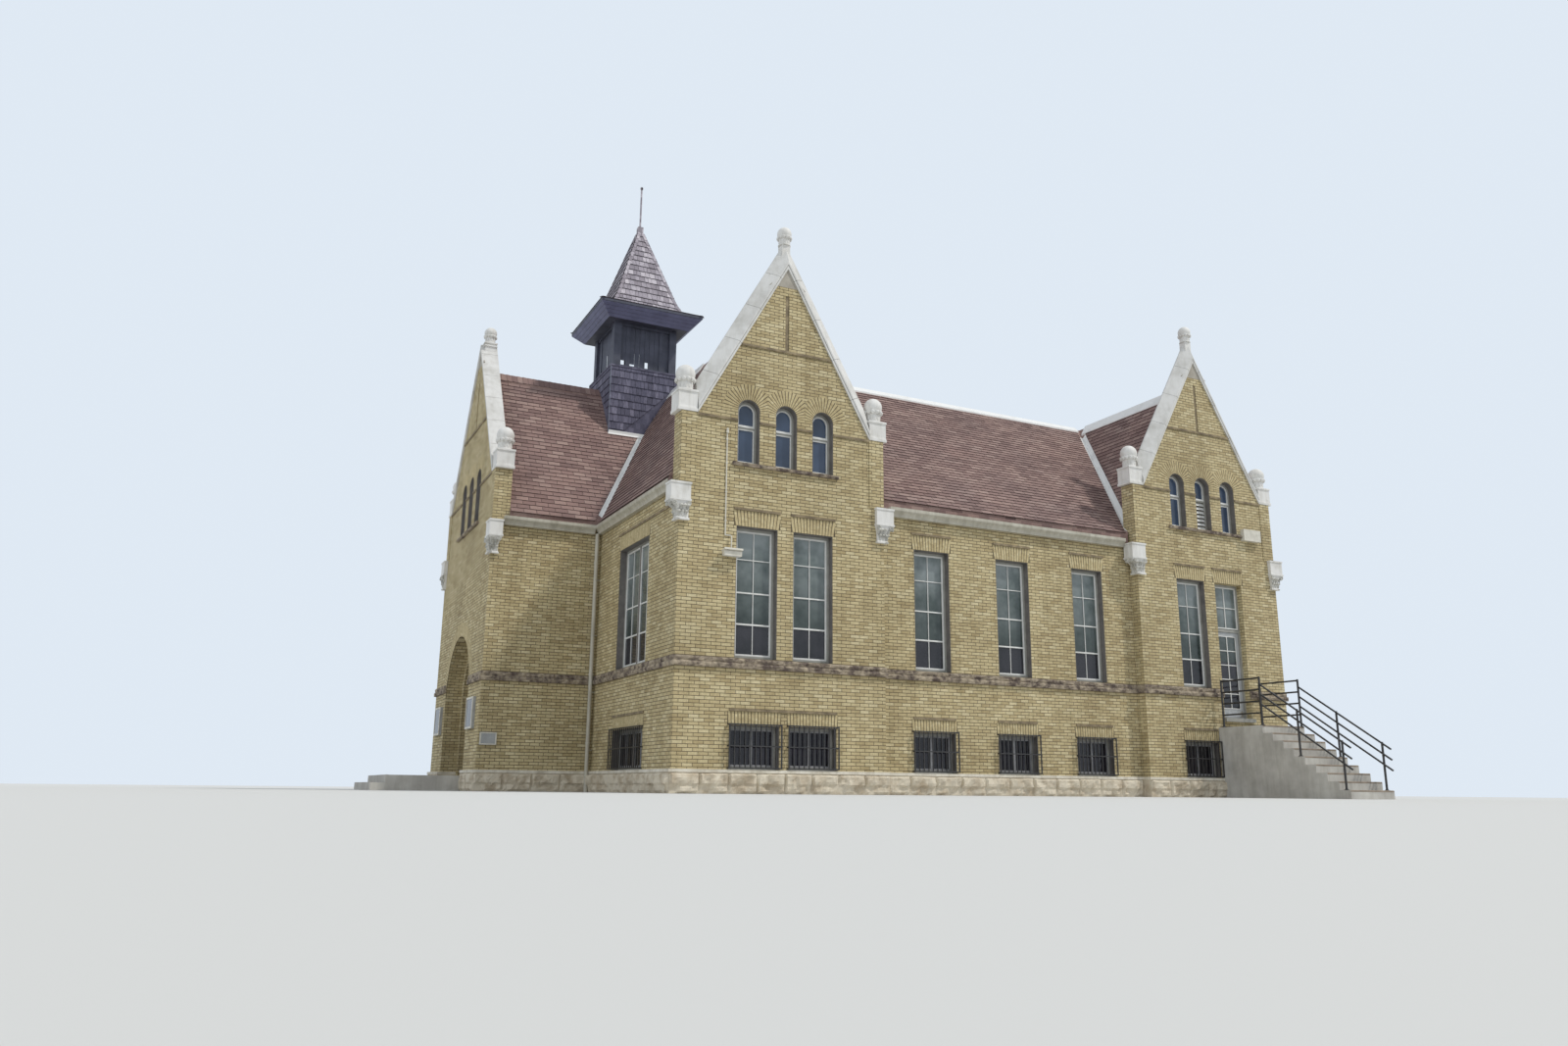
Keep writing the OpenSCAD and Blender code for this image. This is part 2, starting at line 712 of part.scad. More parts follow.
// One coping slope on the left of a gable, seen from outside
module coping_side(w, kneel) {
    run = w / 2 - pilaster_w;
    rise = apex_z - kneel;
    angle = atan2(rise, run);
    high = coping_foot + coping_edge + coping_rise;
    difference() {
        translate([pilaster_w, wall_t / 2, kneel]) rotate([0, -angle, 0])
            rotate([90, 0, 90]) linear_extrude(norm([run, rise]) + high * tan(angle) + cut)
                coping_section();
        slab(0, pilaster_w + joint, kneel - cut, apex_z, -past, past + wall_t);
        slab(w / 2 - joint / 2, w, kneel, apex_z + deep, -past, past + wall_t);
        side = finial_w / 2 + joint;
        slab(w / 2 - side, w / 2 + side, apex_z, apex_z + deep,
            wall_t / 2 - side, wall_t / 2 + side);
    }
}
module copings() color(white) on_each_gable() {
    coping_side($gable_w, $gable_kneel);
    translate([$gable_w, 0, 0]) mirror([1, 0, 0]) coping_side($gable_w, $gable_kneel);
}
// Ball pinnacle on a square pedestal, standing at z = 0
pedestal_w = 410;
module pinnacle() {
    body = 410;
    slab_h = 70;
    top_h = 50;
    lip = 15;
    bell = body + top_h;
    translate([-pedestal_w / 2 - lip, -pedestal_w / 2 - lip, 0])
        cube([pedestal_w + 2 * lip, pedestal_w + 2 * lip, slab_h]);
    translate([-pedestal_w / 2, -pedestal_w / 2, slab_h])
        cube([pedestal_w, pedestal_w, body - slab_h]);
    translate([-pedestal_w / 2 - lip, -pedestal_w / 2 - lip, body])
        cube([pedestal_w + 2 * lip, pedestal_w + 2 * lip, top_h]);
    rotate_extrude() ball_profile(ball_d / 2, bell);
}
// Half section of a ball on a bell-shaped neck with a moulded collar
module ball_profile(r, z) {
    neck = r * 0.65;
    mouth = r * 0.93;
    rise = r * 1.4;
    collar = r * 0.18;
    centre = z + rise + collar + r * 0.62;
    polygon([[0, z - joint], [neck + collar, z - joint], [neck + collar, z + collar],
        [neck, z + 1.5 * collar], [neck, z + rise * 0.45], [neck + collar * 0.4, z + rise * 0.7],
        [mouth - collar * 0.4, z + rise * 0.9], [mouth, z + rise], [r * 1.04, z + rise + collar * 0.3],
        [r * 1.04, z + rise + collar], [r * 0.78, z + rise + collar], [0, z + rise + collar]]);
    intersection() {
        translate([0, centre]) circle(r = r);
        translate([0, z + rise + collar - joint]) square(3 * r);
    }
}
// Ball finial on the square block that closes the copings
module finial() {
    translate([-finial_w / 2, -finial_w / 2, 0]) cube([finial_w, finial_w, finial_h]);
    rotate_extrude() ball_profile(finial_d / 2, finial_h);
}
pinnacle_in = 46;
module pinnacles() color(white) on_each_gable() {
    near = pilaster_w / 2 - pinnacle_in;
    for (x = [near, $gable_w - near]) translate([x, wall_t / 2, $gable_kneel]) pinnacle();
    translate([$gable_w / 2, wall_t / 2, apex_z]) finial();
}

// Carved block that wraps a gable's corner at the eaves, on a capital that flares
// out under it. Both are drawn about the wall's corner.
body_foot = 5640;
capital_foot = 5220;
block_front = 105;
block_near = 230;
block_slab = 40;
block_lip = 15;
capital_roll = 20;
module corbel_block() {
    lip = block_lip;
    near = block_near;
    difference() {
        union() {
            slab(-block_side + 2 * lip, near - lip, body_foot, block_top - block_slab + cut / 10,
                -block_front + lip, block_side - 2 * lip);
            slab(-block_side + lip, near, block_top - block_slab, block_top, -block_front, block_side - lip);
            slab(-block_side + lip, near, body_foot - block_slab, body_foot, -block_front, block_side - lip);
            translate([0, 0, capital_foot]) capital(body_foot - block_slab - capital_foot);
        }
        slab(0, 2 * near, capital_foot - cut, plate_z, 0, 2 * near);
    }
}
// One side of a capital: a moulded foot, a straight bell and a flared mouth
function capital_side(foot, mouth, h) = [[foot + capital_roll, 0],
    [foot + capital_roll, 1.7 * capital_roll], [foot, 2.5 * capital_roll], [foot, 0.5 * h],
    [foot + 0.2 * (mouth - foot), 0.66 * h], [foot + 0.8 * (mouth - foot), 0.87 * h],
    [mouth, 0.95 * h], [mouth, h + joint]];
function flipped(points) =
    [for (i = [len(points) - 1 : -1 : 0]) [-points[i][0], points[i][1]]];
module capital_section(left, left_mouth, right, right_mouth, h)
    linear_extrude(4 * block_near, center = true)
        polygon(concat(capital_side(right, right_mouth, h), flipped(capital_side(left, left_mouth, h))));
module capital(h) {
    near_foot = 55;
    far_foot = 185;
    back_foot = 150;
    intersection() {
        rotate([90, 0, 0])
            capital_section(near_foot, block_side - 2 * block_lip, far_foot, block_near - block_lip, h);
        rotate([90, 0, 90])
            capital_section(near_foot, block_front - block_lip, back_foot, block_side - 2 * block_lip, h);
    }
}
module corbel_blocks() color([0.86, 0.86, 0.82]) on_each_gable() {
    corbel_block();
    translate([$gable_w, 0, 0]) mirror([1, 0, 0]) corbel_block();
}

// Windows
module pane_box(x, z, w, h, t, y = reveal) {
    translate([x - w / 2, y, z]) cube([w, t, h]);
}
module flat_frame(x, z, w, h) {
    difference() {
        pane_box(x, z, w, h, frame_t);
        pane_box(x, z + frame_w, w - 2 * frame_w, h - 2 * frame_w, 3 * frame_t, reveal - frame_t);
    }
}
// Outline of an arched window, drawn from the middle of its sill and shrunk by g
module arch_outline(w, h, g) {
    r = w / 2 - g;
    translate([0, h - w / 2]) circle(r = r);
    translate([-r, g]) square([2 * r, h - w / 2 - g]);
}
module upright(x, y, z, t)
    translate([x, y + t, z]) rotate([90, 0, 0]) linear_extrude(t) children();
module arched_frame(x, z, w, h) {
    upright(x, reveal, z, frame_t) difference() {
        arch_outline(w, h, 0);
        difference() {
            arch_outline(w, h, frame_w);
            translate([-w / 2, arch_bar]) square([w, frame_w]);
        }
    }
}
glass_y = reveal + frame_t / 2 - glass_t / 2;
module flat_pane(x, z, w, h)
    pane_box(x, z + frame_w, w - 2 * frame_w, h - 2 * frame_w, glass_t, glass_y);
// Panes over and under the crossbar of an arched window
module arched_panes(x, z, w, h, low) {
    upright(x, glass_y, z, glass_t) difference() {
        arch_outline(w, h, frame_w + joint);
        low_edge = low ? arch_bar - joint : 0;
        translate([-w, low_edge]) square([2 * w, arch_bar + frame_w + joint - low_edge]);
    }
}
module main_set(xs) {
    for (x = xs) flat_frame(x, sill_z, win_w, win_h);
}
module main_glass(xs) {
    for (x = xs) flat_pane(x, sill_z, win_w, win_h);
}
module low_set(xs) {
    for (x = xs) flat_frame(x, base_h, low_w, low_h);
}
module low_glass(xs) {
    for (x = xs) flat_pane(x, base_h, low_w, low_h);
}
module arch_set(w, kneel) {
    for (a = arches) arched_frame(w / 2 + a, kneel - arch_drop, arch_w, arch_h);
}
module arch_glass(w, kneel, louvred = false) {
    for (a = arches)
        arched_panes(w / 2 + a, kneel - arch_drop, arch_w, arch_h, !louvred || a != 0);
}
module frames() color([0.86, 0.86, 0.84]) {
    on_each_gable() arch_set($gable_w, $gable_kneel);
    on_wing_a() wing_set(bays);
    on_wing_a_rear() wing_set(bays);
    on_wing_c() wing_set([bays[0]]);
    on_wing_c_rear() wing_set(bays);
    on_left_rear() wing_set(left_bays);
    on_main() wing_set(main_bays);
    on_main_rear() wing_set(main_bays);
    on_wing_c_side() wing_set(side_bays);
    on_wing_a_side() {
        flat_frame(side_win_x, sill_z, side_win_w, win_h);
        flat_frame(side_win_x, base_h, side_win_w, low_h);
    }
    on_wing_c() door_frame();
}
module wing_set(xs) {
    main_set(xs);
    low_set(xs);
}
// The side door's frame of jambs, head and transom, with its threshold
door_x0 = door_x - win_w / 2;
door_x1 = door_x + win_w / 2;
leaf_top = door_sill + door_h;
module door_frame() {
    back = reveal + frame_t;
    top = sill_z + win_h;
    slab(door_x0, door_x0 + frame_w, door_sill, top, reveal, back);
    slab(door_x1 - frame_w, door_x1, door_sill, top, reveal, back);
    inner0 = door_x0 + frame_w + joint;
    inner1 = door_x1 - frame_w - joint;
    slab(inner0, inner1, top - frame_w, top, reveal, back);
    slab(inner0, inner1, leaf_top, leaf_top + frame_w, reveal, back);
    sill_t = 90;
    slab(door_x0 - sill_t / 2, door_x1 + sill_t / 2, door_sill - sill_t, door_sill, -sill_t, 0);
    frame_hinges();
}
// Black cage grilles that stand off the wall over the basement windows
module grille(x, w) {
    foot = base_h + 20;
    high = low_h + 10;
    wide = w + 60;
    edge = 25;
    bars = round(wide / 120);
    x0 = x - wide / 2;
    y0 = -grille_off - grille_bar;
    for (k = [0 : bars]) {
        bar_w = k == 0 || k == bars ? edge : grille_bar;
        bar_x = x0 + (wide - bar_w) * k / bars;
        slab(bar_x, bar_x + bar_w, foot, foot + high, y0, -grille_off);
    }
    for (k = [0 : 2]) {
        bar_z = foot + (high - edge) * k / 2;
        slab(x0, x0 + wide, bar_z, bar_z + edge, y0, -grille_off);
        for (end = [x0, x0 + wide - edge])
            slab(end, end + edge, bar_z, bar_z + edge, -grille_off - grille_bar / 2, 0);
    }
}
module grilles(xs) {
    for (x = xs) grille(x, low_w);
}
module window_grilles() color([0.10, 0.10, 0.11]) {
    on_wing_a() grilles(bays);
    on_wing_a_rear() grilles(bays);
    on_wing_c() grilles([bays[0]]);
    on_wing_c_rear() grilles(bays);
    on_left_rear() grilles(left_bays);
    on_main() grilles(main_bays);
    on_main_rear() grilles(main_bays);
    on_wing_c_side() grilles(side_bays);
    on_wing_a_side() grille(side_win_x, side_win_w);
}
// Sloping slats in the middle arched window of the right pavilion's front
module louvres() color([0.86, 0.86, 0.84]) on_wing_c() {
    slats = 7;
    slat_t = 12;
    inner = arch_w - 2 * frame_w - 2 * joint;
    foot = kneel_z - arch_drop + frame_w;
    pitch = (arch_bar - frame_w) / slats;
    for (k = [0 : slats - 1])
        translate([wing_w / 2 - inner / 2, reveal + 5, foot + k * pitch + 5])
            rotate([90, 0, 90]) linear_extrude(inner)
                polygon([[0, 0], [slat_t, 0], [frame_t - 10, pitch * 0.8],
                    [frame_t - 10 - slat_t, pitch * 0.8]]);
}
module glass_basement() color([0.25, 0.30, 0.33, 0.6]) {
    on_wing_a() low_glass(bays);
    on_wing_a_rear() low_glass(bays);
    on_wing_c() low_glass([bays[0]]);
    on_wing_c_rear() low_glass(bays);
    on_left_rear() low_glass(left_bays);
    on_main() low_glass(main_bays);
    on_main_rear() low_glass(main_bays);
    on_wing_c_side() low_glass(side_bays);
    on_wing_a_side() flat_pane(side_win_x, base_h, side_win_w, low_h);
}
module glass_main() color([0.30, 0.36, 0.40, 0.6]) {
    on_wing_a() main_glass(bays);
    on_wing_a_rear() main_glass(bays);
    on_wing_c() main_glass([bays[0]]);
    on_wing_c_rear() main_glass(bays);
    on_left_rear() main_glass(left_bays);
    on_main() main_glass(main_bays);
    on_main_rear() main_glass(main_bays);
    on_wing_c_side() main_glass(side_bays);
    on_wing_a_side() flat_pane(side_win_x, sill_z, side_win_w, win_h);
    on_wing_c() slab(door_x0 + frame_w + joint, door_x1 - frame_w - joint,
        leaf_top + frame_w, sill_z + win_h - frame_w, glass_y, glass_y + glass_t);
}
module glass_attic() color([0.30, 0.36, 0.40, 0.6]) {
    on_wing_a() arch_glass(wing_w, kneel_z);
    on_wing_a_rear() arch_glass(wing_w, kneel_z);
    on_wing_c() arch_glass(wing_w, kneel_z, true);
    on_wing_c_rear() arch_glass(wing_w, kneel_z);
    on_left_gable() arch_glass(left_d, left_kneel_z);
}

// Portal
portal_x = left_d / 2;
// Brick order number i, set back in the gable wall
module portal_order(i) {
    wide = portal_w + 500;
    inner = portal_w - 2 * order_in * i;
    upright(portal_x, wall_t + order_d * (i - 1) + joint * i, 0, order_d) difference() {
        portal_outline(wide, portal_floor);
        portal_outline(inner, portal_floor - cut);
    }
}
module portal_outline(w, z) {
    translate([0, portal_spring]) circle(d = w);
    translate([-w / 2, z]) square([w, portal_spring - z]);
}
orders = 2;
module portal_orders() color([0.70, 0.60, 0.42]) on_left_gable()
    for (i = [1 : orders]) portal_order(i);
// Pair of panelled doors under a plain half-round top
module portal_doors() color([0.35, 0.25, 0.18]) on_left_gable() {
    w = portal_w - 2 * order_in * orders + 100;
    y = wall_t + (order_d + joint) * orders + joint;
    leaf_t = 60;
    sunk = 20;
    rail = 140;
    half = w / 2 - joint;
    panel_h = (portal_spring - portal_floor - 3 * rail) / 2;
    for (x = [portal_x - w / 2, portal_x + joint]) difference() {
        slab(x, x + half, portal_floor, portal_spring - joint, y, y + leaf_t);
        for (k = [0, 1]) translate([x + rail, y - cut, portal_floor + rail + k * (panel_h + rail)])
            cube([half - 2 * rail, sunk + cut, panel_h]);
    }
    upright(portal_x, y, portal_spring, leaf_t) intersection() {
        circle(d = w);
        translate([-w / 2, 0]) square([w, w / 2]);
    }
}
// Landing before the portal, its lower step and the floor up to the doors
module portal_landing() color([0.72, 0.71, 0.68]) on_left_gable() {
    half = portal_w / 2 - joint;
    wide = portal_w / 2 + 100;
    reach = ledge_out + joint;
    low_tread = 300;
    slab(portal_x - wide, portal_x + wide, 0, portal_floor, -reach - portal_out, -reach);
    slab(portal_x - wide, portal_x + wide, 0, portal_floor / 2,
        -reach - portal_out - low_tread, -reach - portal_out - joint);
    slab(portal_x - half, portal_x + half, 0, portal_floor, -ledge_out, wall_t - joint);
    slab(portal_x - half, portal_x + half, ground_t, portal_floor, wall_t,
        wall_t + (order_d + joint) * orders + 100);
}

// Belfry
base_t = 90;
cap_h = 40;
cap_out = 30;
module tower_block(side, z, h)
    translate([tower_x - side / 2, tower_y - side / 2, z]) cube([side, side, h]);
module tower_base() color([0.36, 0.33, 0.32]) {
    difference() {
        tower_block(tower_w, plate_z, tower_base_z - plate_z - cap_h);
        tower_block(tower_w - 2 * base_t, plate_z - cut,
            tower_base_z - plate_z - cap_h - base_t + cut);
        left_under(roof_t + joint);
        a_under(roof_t + joint);
    }
    tower_block(tower_w + 2 * cap_out, tower_base_z - cap_h + joint, cap_h - joint);
}
post_w = 200;
mid_post_w = 120;
mid_post_at = 470;
sill_bar = 70;
// Square frame of four bars round the belfry's top
module bell_frame(z, h) {
    half = bell_w / 2 - post_w;
    for (turn = [0 : 3]) translate([tower_x, tower_y, z]) rotate([0, 0, 90 * turn])
        translate([-half + joint, half, 0])
            cube([2 * half - 2 * joint, post_w - 30, h]);
}
module bell_stage() color([0.20, 0.20, 0.22]) {
    half = bell_w / 2;
    for (sx = [-1, 1], sy = [-1, 1])
        translate([tower_x + sx * (half - post_w / 2) - post_w / 2,
            tower_y + sy * (half - post_w / 2) - post_w / 2, tower_base_z])
            cube([post_w, post_w, bell_h - joint]);
    bell_frame(tower_base_z, sill_bar);
    bell_frame(tower_base_z + bell_h - sill_bar - joint, sill_bar);
    for (turn = [0 : 3], side = [-1, 1])
        translate([tower_x, tower_y, tower_base_z + sill_bar + joint]) rotate([0, 0, 90 * turn])
            translate([side * mid_post_at - mid_post_w / 2, half - post_w + 20, 0])
                cube([mid_post_w, mid_post_w, bell_h - 2 * sill_bar - 3 * joint]);
}
eave_z = tower_base_z + bell_h + flare_h;
fascia_h = 60;
// Square tapering block on the belfry's axis, from half width a to half width b
module taper(z, h, a, b)
    translate([tower_x, tower_y, z]) rotate([0, 0, 45])
        cylinder(r1 = a * sqrt(2), r2 = b * sqrt(2), h = h, $fn = 4);
module flared_eave() color([0.22, 0.21, 0.22]) {
    taper(tower_base_z + bell_h, flare_h, soffit_half, flare_half);
    taper(eave_z + joint, fascia_h - joint, flare_half, flare_half);
}
skirt_h = 150;
skirt_half = 1000;
bend_h = 330;
bend_half = 840;
spire_top = 80;
box_half = 75;
box_h = 200;
module spire() color([0.45, 0.40, 0.38]) {
    foot = eave_z + fascia_h + joint;
    top = foot + spire_h;
    taper(foot, skirt_h, flare_half, skirt_half);
    bend = foot + skirt_h + joint;
    taper(bend, bend_h, skirt_half, bend_half);
    taper(bend + bend_h + joint, top - bend - bend_h, bend_half, spire_top);
    taper(top + 2 * joint, box_h, box_half, box_half);
    translate([tower_x, tower_y, top + box_h + 3 * joint]) {
        cylinder(d = 50, h = rod_h);
        translate([0, 0, rod_h]) sphere(d = 90);
    }
}

// Side door
leaf_x0 = door_x0 + frame_w + door_gap;
leaf_x1 = door_x1 - frame_w - door_gap;
leaf_t = 45;
// The hinge pins stand just clear of the frame's inner face
pin_x = leaf_x0 - door_gap / 2;
pin_y = reveal + frame_t + hinge_r + joint;
hinge_in = 250;
hinge_zs = [door_sill + hinge_in, door_sill + door_h / 2, leaf_top - hinge_in];
hinge_t = 3;
module knuckle(z, h)
    translate([pin_x, pin_y, z]) cylinder(r = hinge_r, h = h);
// The leaf with its glass and its middle hinge knuckles
module side_door() color([0.62, 0.64, 0.66]) on_wing_c() {
    stile = 110;
    kick = 250;
    back = reveal + frame_t;
    pane_y = back - leaf_t / 2 - glass_t / 2;
    difference() {
        slab(leaf_x0, leaf_x1, door_sill + door_gap, leaf_top - door_gap, back - leaf_t, back);
        slab(leaf_x0 + stile, leaf_x1 - stile, door_sill + kick, leaf_top - stile,
            reveal - cut, back + cut);
    }
    slab(leaf_x0 + stile, leaf_x1 - stile, door_sill + kick, leaf_top - stile,
        pane_y, pane_y + glass_t);
    for (z = hinge_zs) {
        knuckle(z, hinge_l);
        slab(pin_x, leaf_x0 + leaf_t, z, z + hinge_l, back, back + hinge_t);
    }
}
// The frame's two knuckles above and below each one of the leaf
module frame_hinges() {
    back = reveal + frame_t;
    for (z = hinge_zs, up = [0, 1]) {
        kz = up == 1 ? z + hinge_l + joint : z - hinge_l / 2 - joint;
        knuckle(kz, hinge_l / 2);
        slab(pin_x - leaf_t, pin_x, kz, kz + hinge_l / 2, back, back + hinge_t);
    }
}

// Side steps: the landing before the door and a straight flight down to the front
step_x0 = door_x - flight_w / 2;
step_x1 = door_x + flight_w / 2;
module side_steps() color([0.70, 0.69, 0.66]) on_wing_c() {
    slab(step_x0, step_x1, 0, base_h, -landing_d, -ledge_out - joint);
    slab(step_x0, step_x1, base_h + joint, landing_z, -landing_d, 0);
    for (i = [1 : step_n - 1])
        slab(step_x0, step_x1, 0, landing_z - i * step_h, -landing_d - i * tread,
            -landing_d - (i - 1) * tread - joint);
}
// Rail of pipe in the plane x, from y along the flight for len, falling by angle
module rail_bar(x, y, z, len, angle) {
    translate([x, y, z]) rotate([90 + angle, 0, 0]) rotate([0, 0, 22.5])
        cylinder(d = rail_d, h = len, $fn = 8);
}
module rail_post(x, y, z, top) {
    post_d = rail_d + 8;
    translate([x, y, z]) rotate([0, 0, 22.5]) cylinder(d = post_d, h = top - z, $fn = 8);
}
rail_in = 50;
rail_gap = 270;
rail_past = 200;
slope_gap = 230;
module side_rails() color([0.12, 0.12, 0.13]) on_wing_c() {
    fall = step_h / tread;
    angle = atan(fall);
    wall_y = -130;
    corner_y = -landing_d + 30;
    mid_step = floor(step_n / 2);
    last_step = step_n - 1;
    mid_y = -landing_d - (mid_step - 0.5) * tread;
    foot_y = -landing_d - (last_step - 0.5) * tread;
    over = 30;
    for (x = [step_x0 + rail_in, step_x1 - rail_in]) {
        rail_post(x, wall_y, landing_z, landing_z + rail_h + over);
        rail_post(x, corner_y, landing_z, landing_z + rail_h + over);
        for (p = [[mid_y, mid_step], [foot_y, last_step]]) {
            line = landing_z + fall * (p[0] + landing_d) + slope_rail_h;
            rail_post(x, p[0], landing_z - p[1] * step_h, line + over);
        }
        for (k = [0 : 3]) rail_bar(x, wall_y, landing_z + rail_h - k * rail_gap,
            wall_y - corner_y, 0);
        len = (corner_y - foot_y + rail_past) / cos(angle);
        for (k = [0 : 2]) {
            z = landing_z + fall * (corner_y + landing_d) + slope_rail_h - k * slope_gap;
            rail_bar(x, corner_y, z, len, angle);
        }
    }
}

// Bare boards beside the portal and a box on the left wing's front
module display_boards() color([0.55, 0.56, 0.56]) {
    board_w = 700;
    board_z = 1350;
    board_t = 60;
    off = 800;
    on_left_gable() for (x = [off, left_d - off])
        slab(x - board_w / 2, x + board_w / 2, board_z, board_z + board_w, -board_t, 0);
    box_x = 40;
    box_w = 360;
    box_z = 980;
    box_h = 270;
    on_left_front() slab(box_x, box_x + box_w, box_z, box_z + box_h, -board_t, 0);
}
// Floodlight under its conduit on the left pavilion, lamp on the right one
module wall_lights() color([0.30, 0.30, 0.31]) {
    lamp_off = 590;
    pipe_off = 120;
    lamp_x = bays[0] - lamp_off;
    lamp_z = 4580;
    lamp_w = 380;
    lamp_h = 100;
    lamp_out = 120;
    arm = 40;
    pipe = 22;
    pipe_x = lamp_x - pipe_off;
    pipe_top = 7160;
    pipe_foot = 5030;
    on_wing_a() {
        slab(lamp_x - lamp_w / 2, lamp_x + lamp_w / 2, lamp_z, lamp_z + lamp_h, -lamp_out - arm, -arm);
        slab(lamp_x - arm / 2, lamp_x + arm / 2, lamp_z + lamp_h / 2 - arm / 2,
            lamp_z + lamp_h / 2 + arm / 2, -arm, 0);
        slab(pipe_x - pipe / 2, pipe_x + pipe / 2, pipe_foot, pipe_top, -pipe, 0);
        slab(pipe_x - pipe / 2, lamp_x, pipe_foot - pipe - joint, pipe_foot - joint, -pipe, 0);
        slab(lamp_x - pipe / 2, lamp_x + pipe / 2, lamp_z + lamp_h, pipe_foot - pipe - 2 * joint,
            -arm - pipe, -arm);
    }
    box_off = 15;
    box_w = 600;
    box_x = wing_w / 2 + arch_gap + arch_w / 2 + sill_side + box_off + box_w / 2;
    box_z = 6420;
    box_h = 300;
    on_wing_c() slab(box_x - box_w / 2, box_x + box_w / 2, box_z, box_z + box_h, -lamp_out, 0);
}

stone_base();
ledge();
ground_floor();
main_floor();
attic_floor();
wing_a_front();
wing_a_side();
wing_a_rear();
left_front();
left_gable();
left_rear();
main_front();
main_rear();
wing_c_front();
wing_c_side();
wing_c_rear();
portal_orders();
portal_doors();
portal_landing();
stone_courses();
label_courses();
frames();
window_grilles();
louvres();
glass_basement();
glass_main();
glass_attic();
roof_wing_a();
roof_wing_c();
roof_main();
roof_left();
roof_flashings();
gutters();
copings();
pinnacles();
corbel_blocks();
tower_base();
bell_stage();
flared_eave();
spire();
display_boards();
wall_lights();
side_door();
side_steps();
side_rails();
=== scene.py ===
# %% [markdown]
# A brick town hall. It has two gabled pavilions, a main block between them, a left
# wing with a portal, and a shingled belfry. The walls, roofs and trim already exist as
# exact construction parts. This lesson loads them as a fixed frame, gives every part
# its finish, and models what a mason, a roofer and a joiner add on top: stones,
# bricks on end, shingles, sashes and bars. Everything is in metres, with the origin at
# the near corner of the left pavilion, X along the front and Z up.

# %% Load the frame
import math
import random
from contextlib import contextmanager
import bpy
from mathutils import Matrix, Vector


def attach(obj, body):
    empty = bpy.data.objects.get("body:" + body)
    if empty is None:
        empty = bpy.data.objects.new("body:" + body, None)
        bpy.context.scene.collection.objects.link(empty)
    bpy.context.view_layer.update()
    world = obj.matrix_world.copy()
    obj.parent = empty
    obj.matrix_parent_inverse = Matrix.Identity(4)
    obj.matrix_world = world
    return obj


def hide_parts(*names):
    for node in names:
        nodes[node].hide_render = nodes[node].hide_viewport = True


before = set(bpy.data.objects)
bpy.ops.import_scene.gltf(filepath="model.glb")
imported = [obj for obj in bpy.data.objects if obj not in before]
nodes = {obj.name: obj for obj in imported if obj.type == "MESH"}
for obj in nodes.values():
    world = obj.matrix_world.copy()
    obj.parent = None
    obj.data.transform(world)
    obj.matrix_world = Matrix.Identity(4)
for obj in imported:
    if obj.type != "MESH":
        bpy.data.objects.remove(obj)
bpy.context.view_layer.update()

# %% [markdown]
# Each wall is drawn as if it lay on a bench: X runs along its outer face from left to
# right, Y goes into the building, and the outer face is Y = 0. A wall's matrix then
# sets such work up in its place. This way one window is modelled once and hung in
# every wall.

# %% Sizes and walls
WING_W, LEFT_D, WALL_T = 4.7, 5.6, 0.38
MAIN_X, RIGHT_X, FAR_X, LEFT_X, LEFT_Y = 4.7, 11.85, 16.55, -2.55, 5.1
MAIN_Y, MAIN_BACK, A_BACK, C_BACK, LEFT_BACK = 0.25, 8.65, 10.95, 8.9, 10.7
BASE_H, SILL_Z, PLATE_Z, RIDGE_Z, APEX_Z = 0.45, 2.59, 6.08, 10.48, 11.06
WIN_W, WIN_H, LOW_W, LOW_H, SIDE_X, SIDE_W = 0.92, 2.65, 1.08, 0.84, 2.5, 1.9
ARCH_W, ARCH_H, ARCH_GAP, ARCH_DROP = 0.50, 1.38, 0.865, 0.93
KNEEL_Z, LEFT_KNEEL_Z, PORTAL_SPRING = 7.49, 7.23, 2.25
TOWER_X, TOWER_Y, TOWER_W = 1.58, 7.90, 1.88
DOOR_X, DOOR_TOP = 2.99, 4.04


def at(x=0.0, y=0.0, z=0.0):
    return Matrix.Translation((x, y, z))


def spin(degrees, axis="Z"):
    return Matrix.Rotation(math.radians(degrees), 4, axis)


def mirror_x(x):
    return at(2 * x) @ Matrix.Diagonal((-1, 1, 1, 1))


def mirror_y(y):
    return at(0, 2 * y) @ Matrix.Diagonal((1, -1, 1, 1))


WALLS = {name: at(x, y) @ spin(degrees) for name, x, y, degrees in (
    ("wing_a_front", 0, 0, 0), ("wing_a_side", 0, LEFT_Y, -90), ("wing_a_rear", MAIN_X, A_BACK, 180),
    ("wing_a_rear_side", MAIN_X, MAIN_BACK, 90), ("left_front", LEFT_X, LEFT_Y, 0),
    ("left_gable", LEFT_X, LEFT_BACK, -90), ("left_rear", 0, LEFT_BACK, 180),
    ("main_front", MAIN_X, MAIN_Y, 0), ("main_rear", RIGHT_X, MAIN_BACK, 180),
    ("wing_c_front", RIGHT_X, 0, 0), ("wing_c_side", FAR_X, 0, 90), ("wing_c_rear", FAR_X, C_BACK, 180))}
WIN_XS = {
    "wing_a_front": [1.71, 2.99], "wing_a_rear": [1.71, 2.99], "wing_c_front": [1.71],
    "wing_c_rear": [1.71, 2.99], "left_rear": [1.275], "main_front": [1.375, 3.575, 5.775],
    "main_rear": [1.375, 3.575, 5.775], "wing_c_side": [1.95, 4.45, 6.95]}
GABLES = {"wing_a_front": (WING_W, KNEEL_Z), "wing_c_front": (WING_W, KNEEL_Z),
          "wing_a_rear": (WING_W, KNEEL_Z), "wing_c_rear": (WING_W, KNEEL_Z),
          "left_gable": (LEFT_D, LEFT_KNEEL_Z)}
print("walls", len(WALLS), "main windows", sum(len(v) for v in WIN_XS.values()))

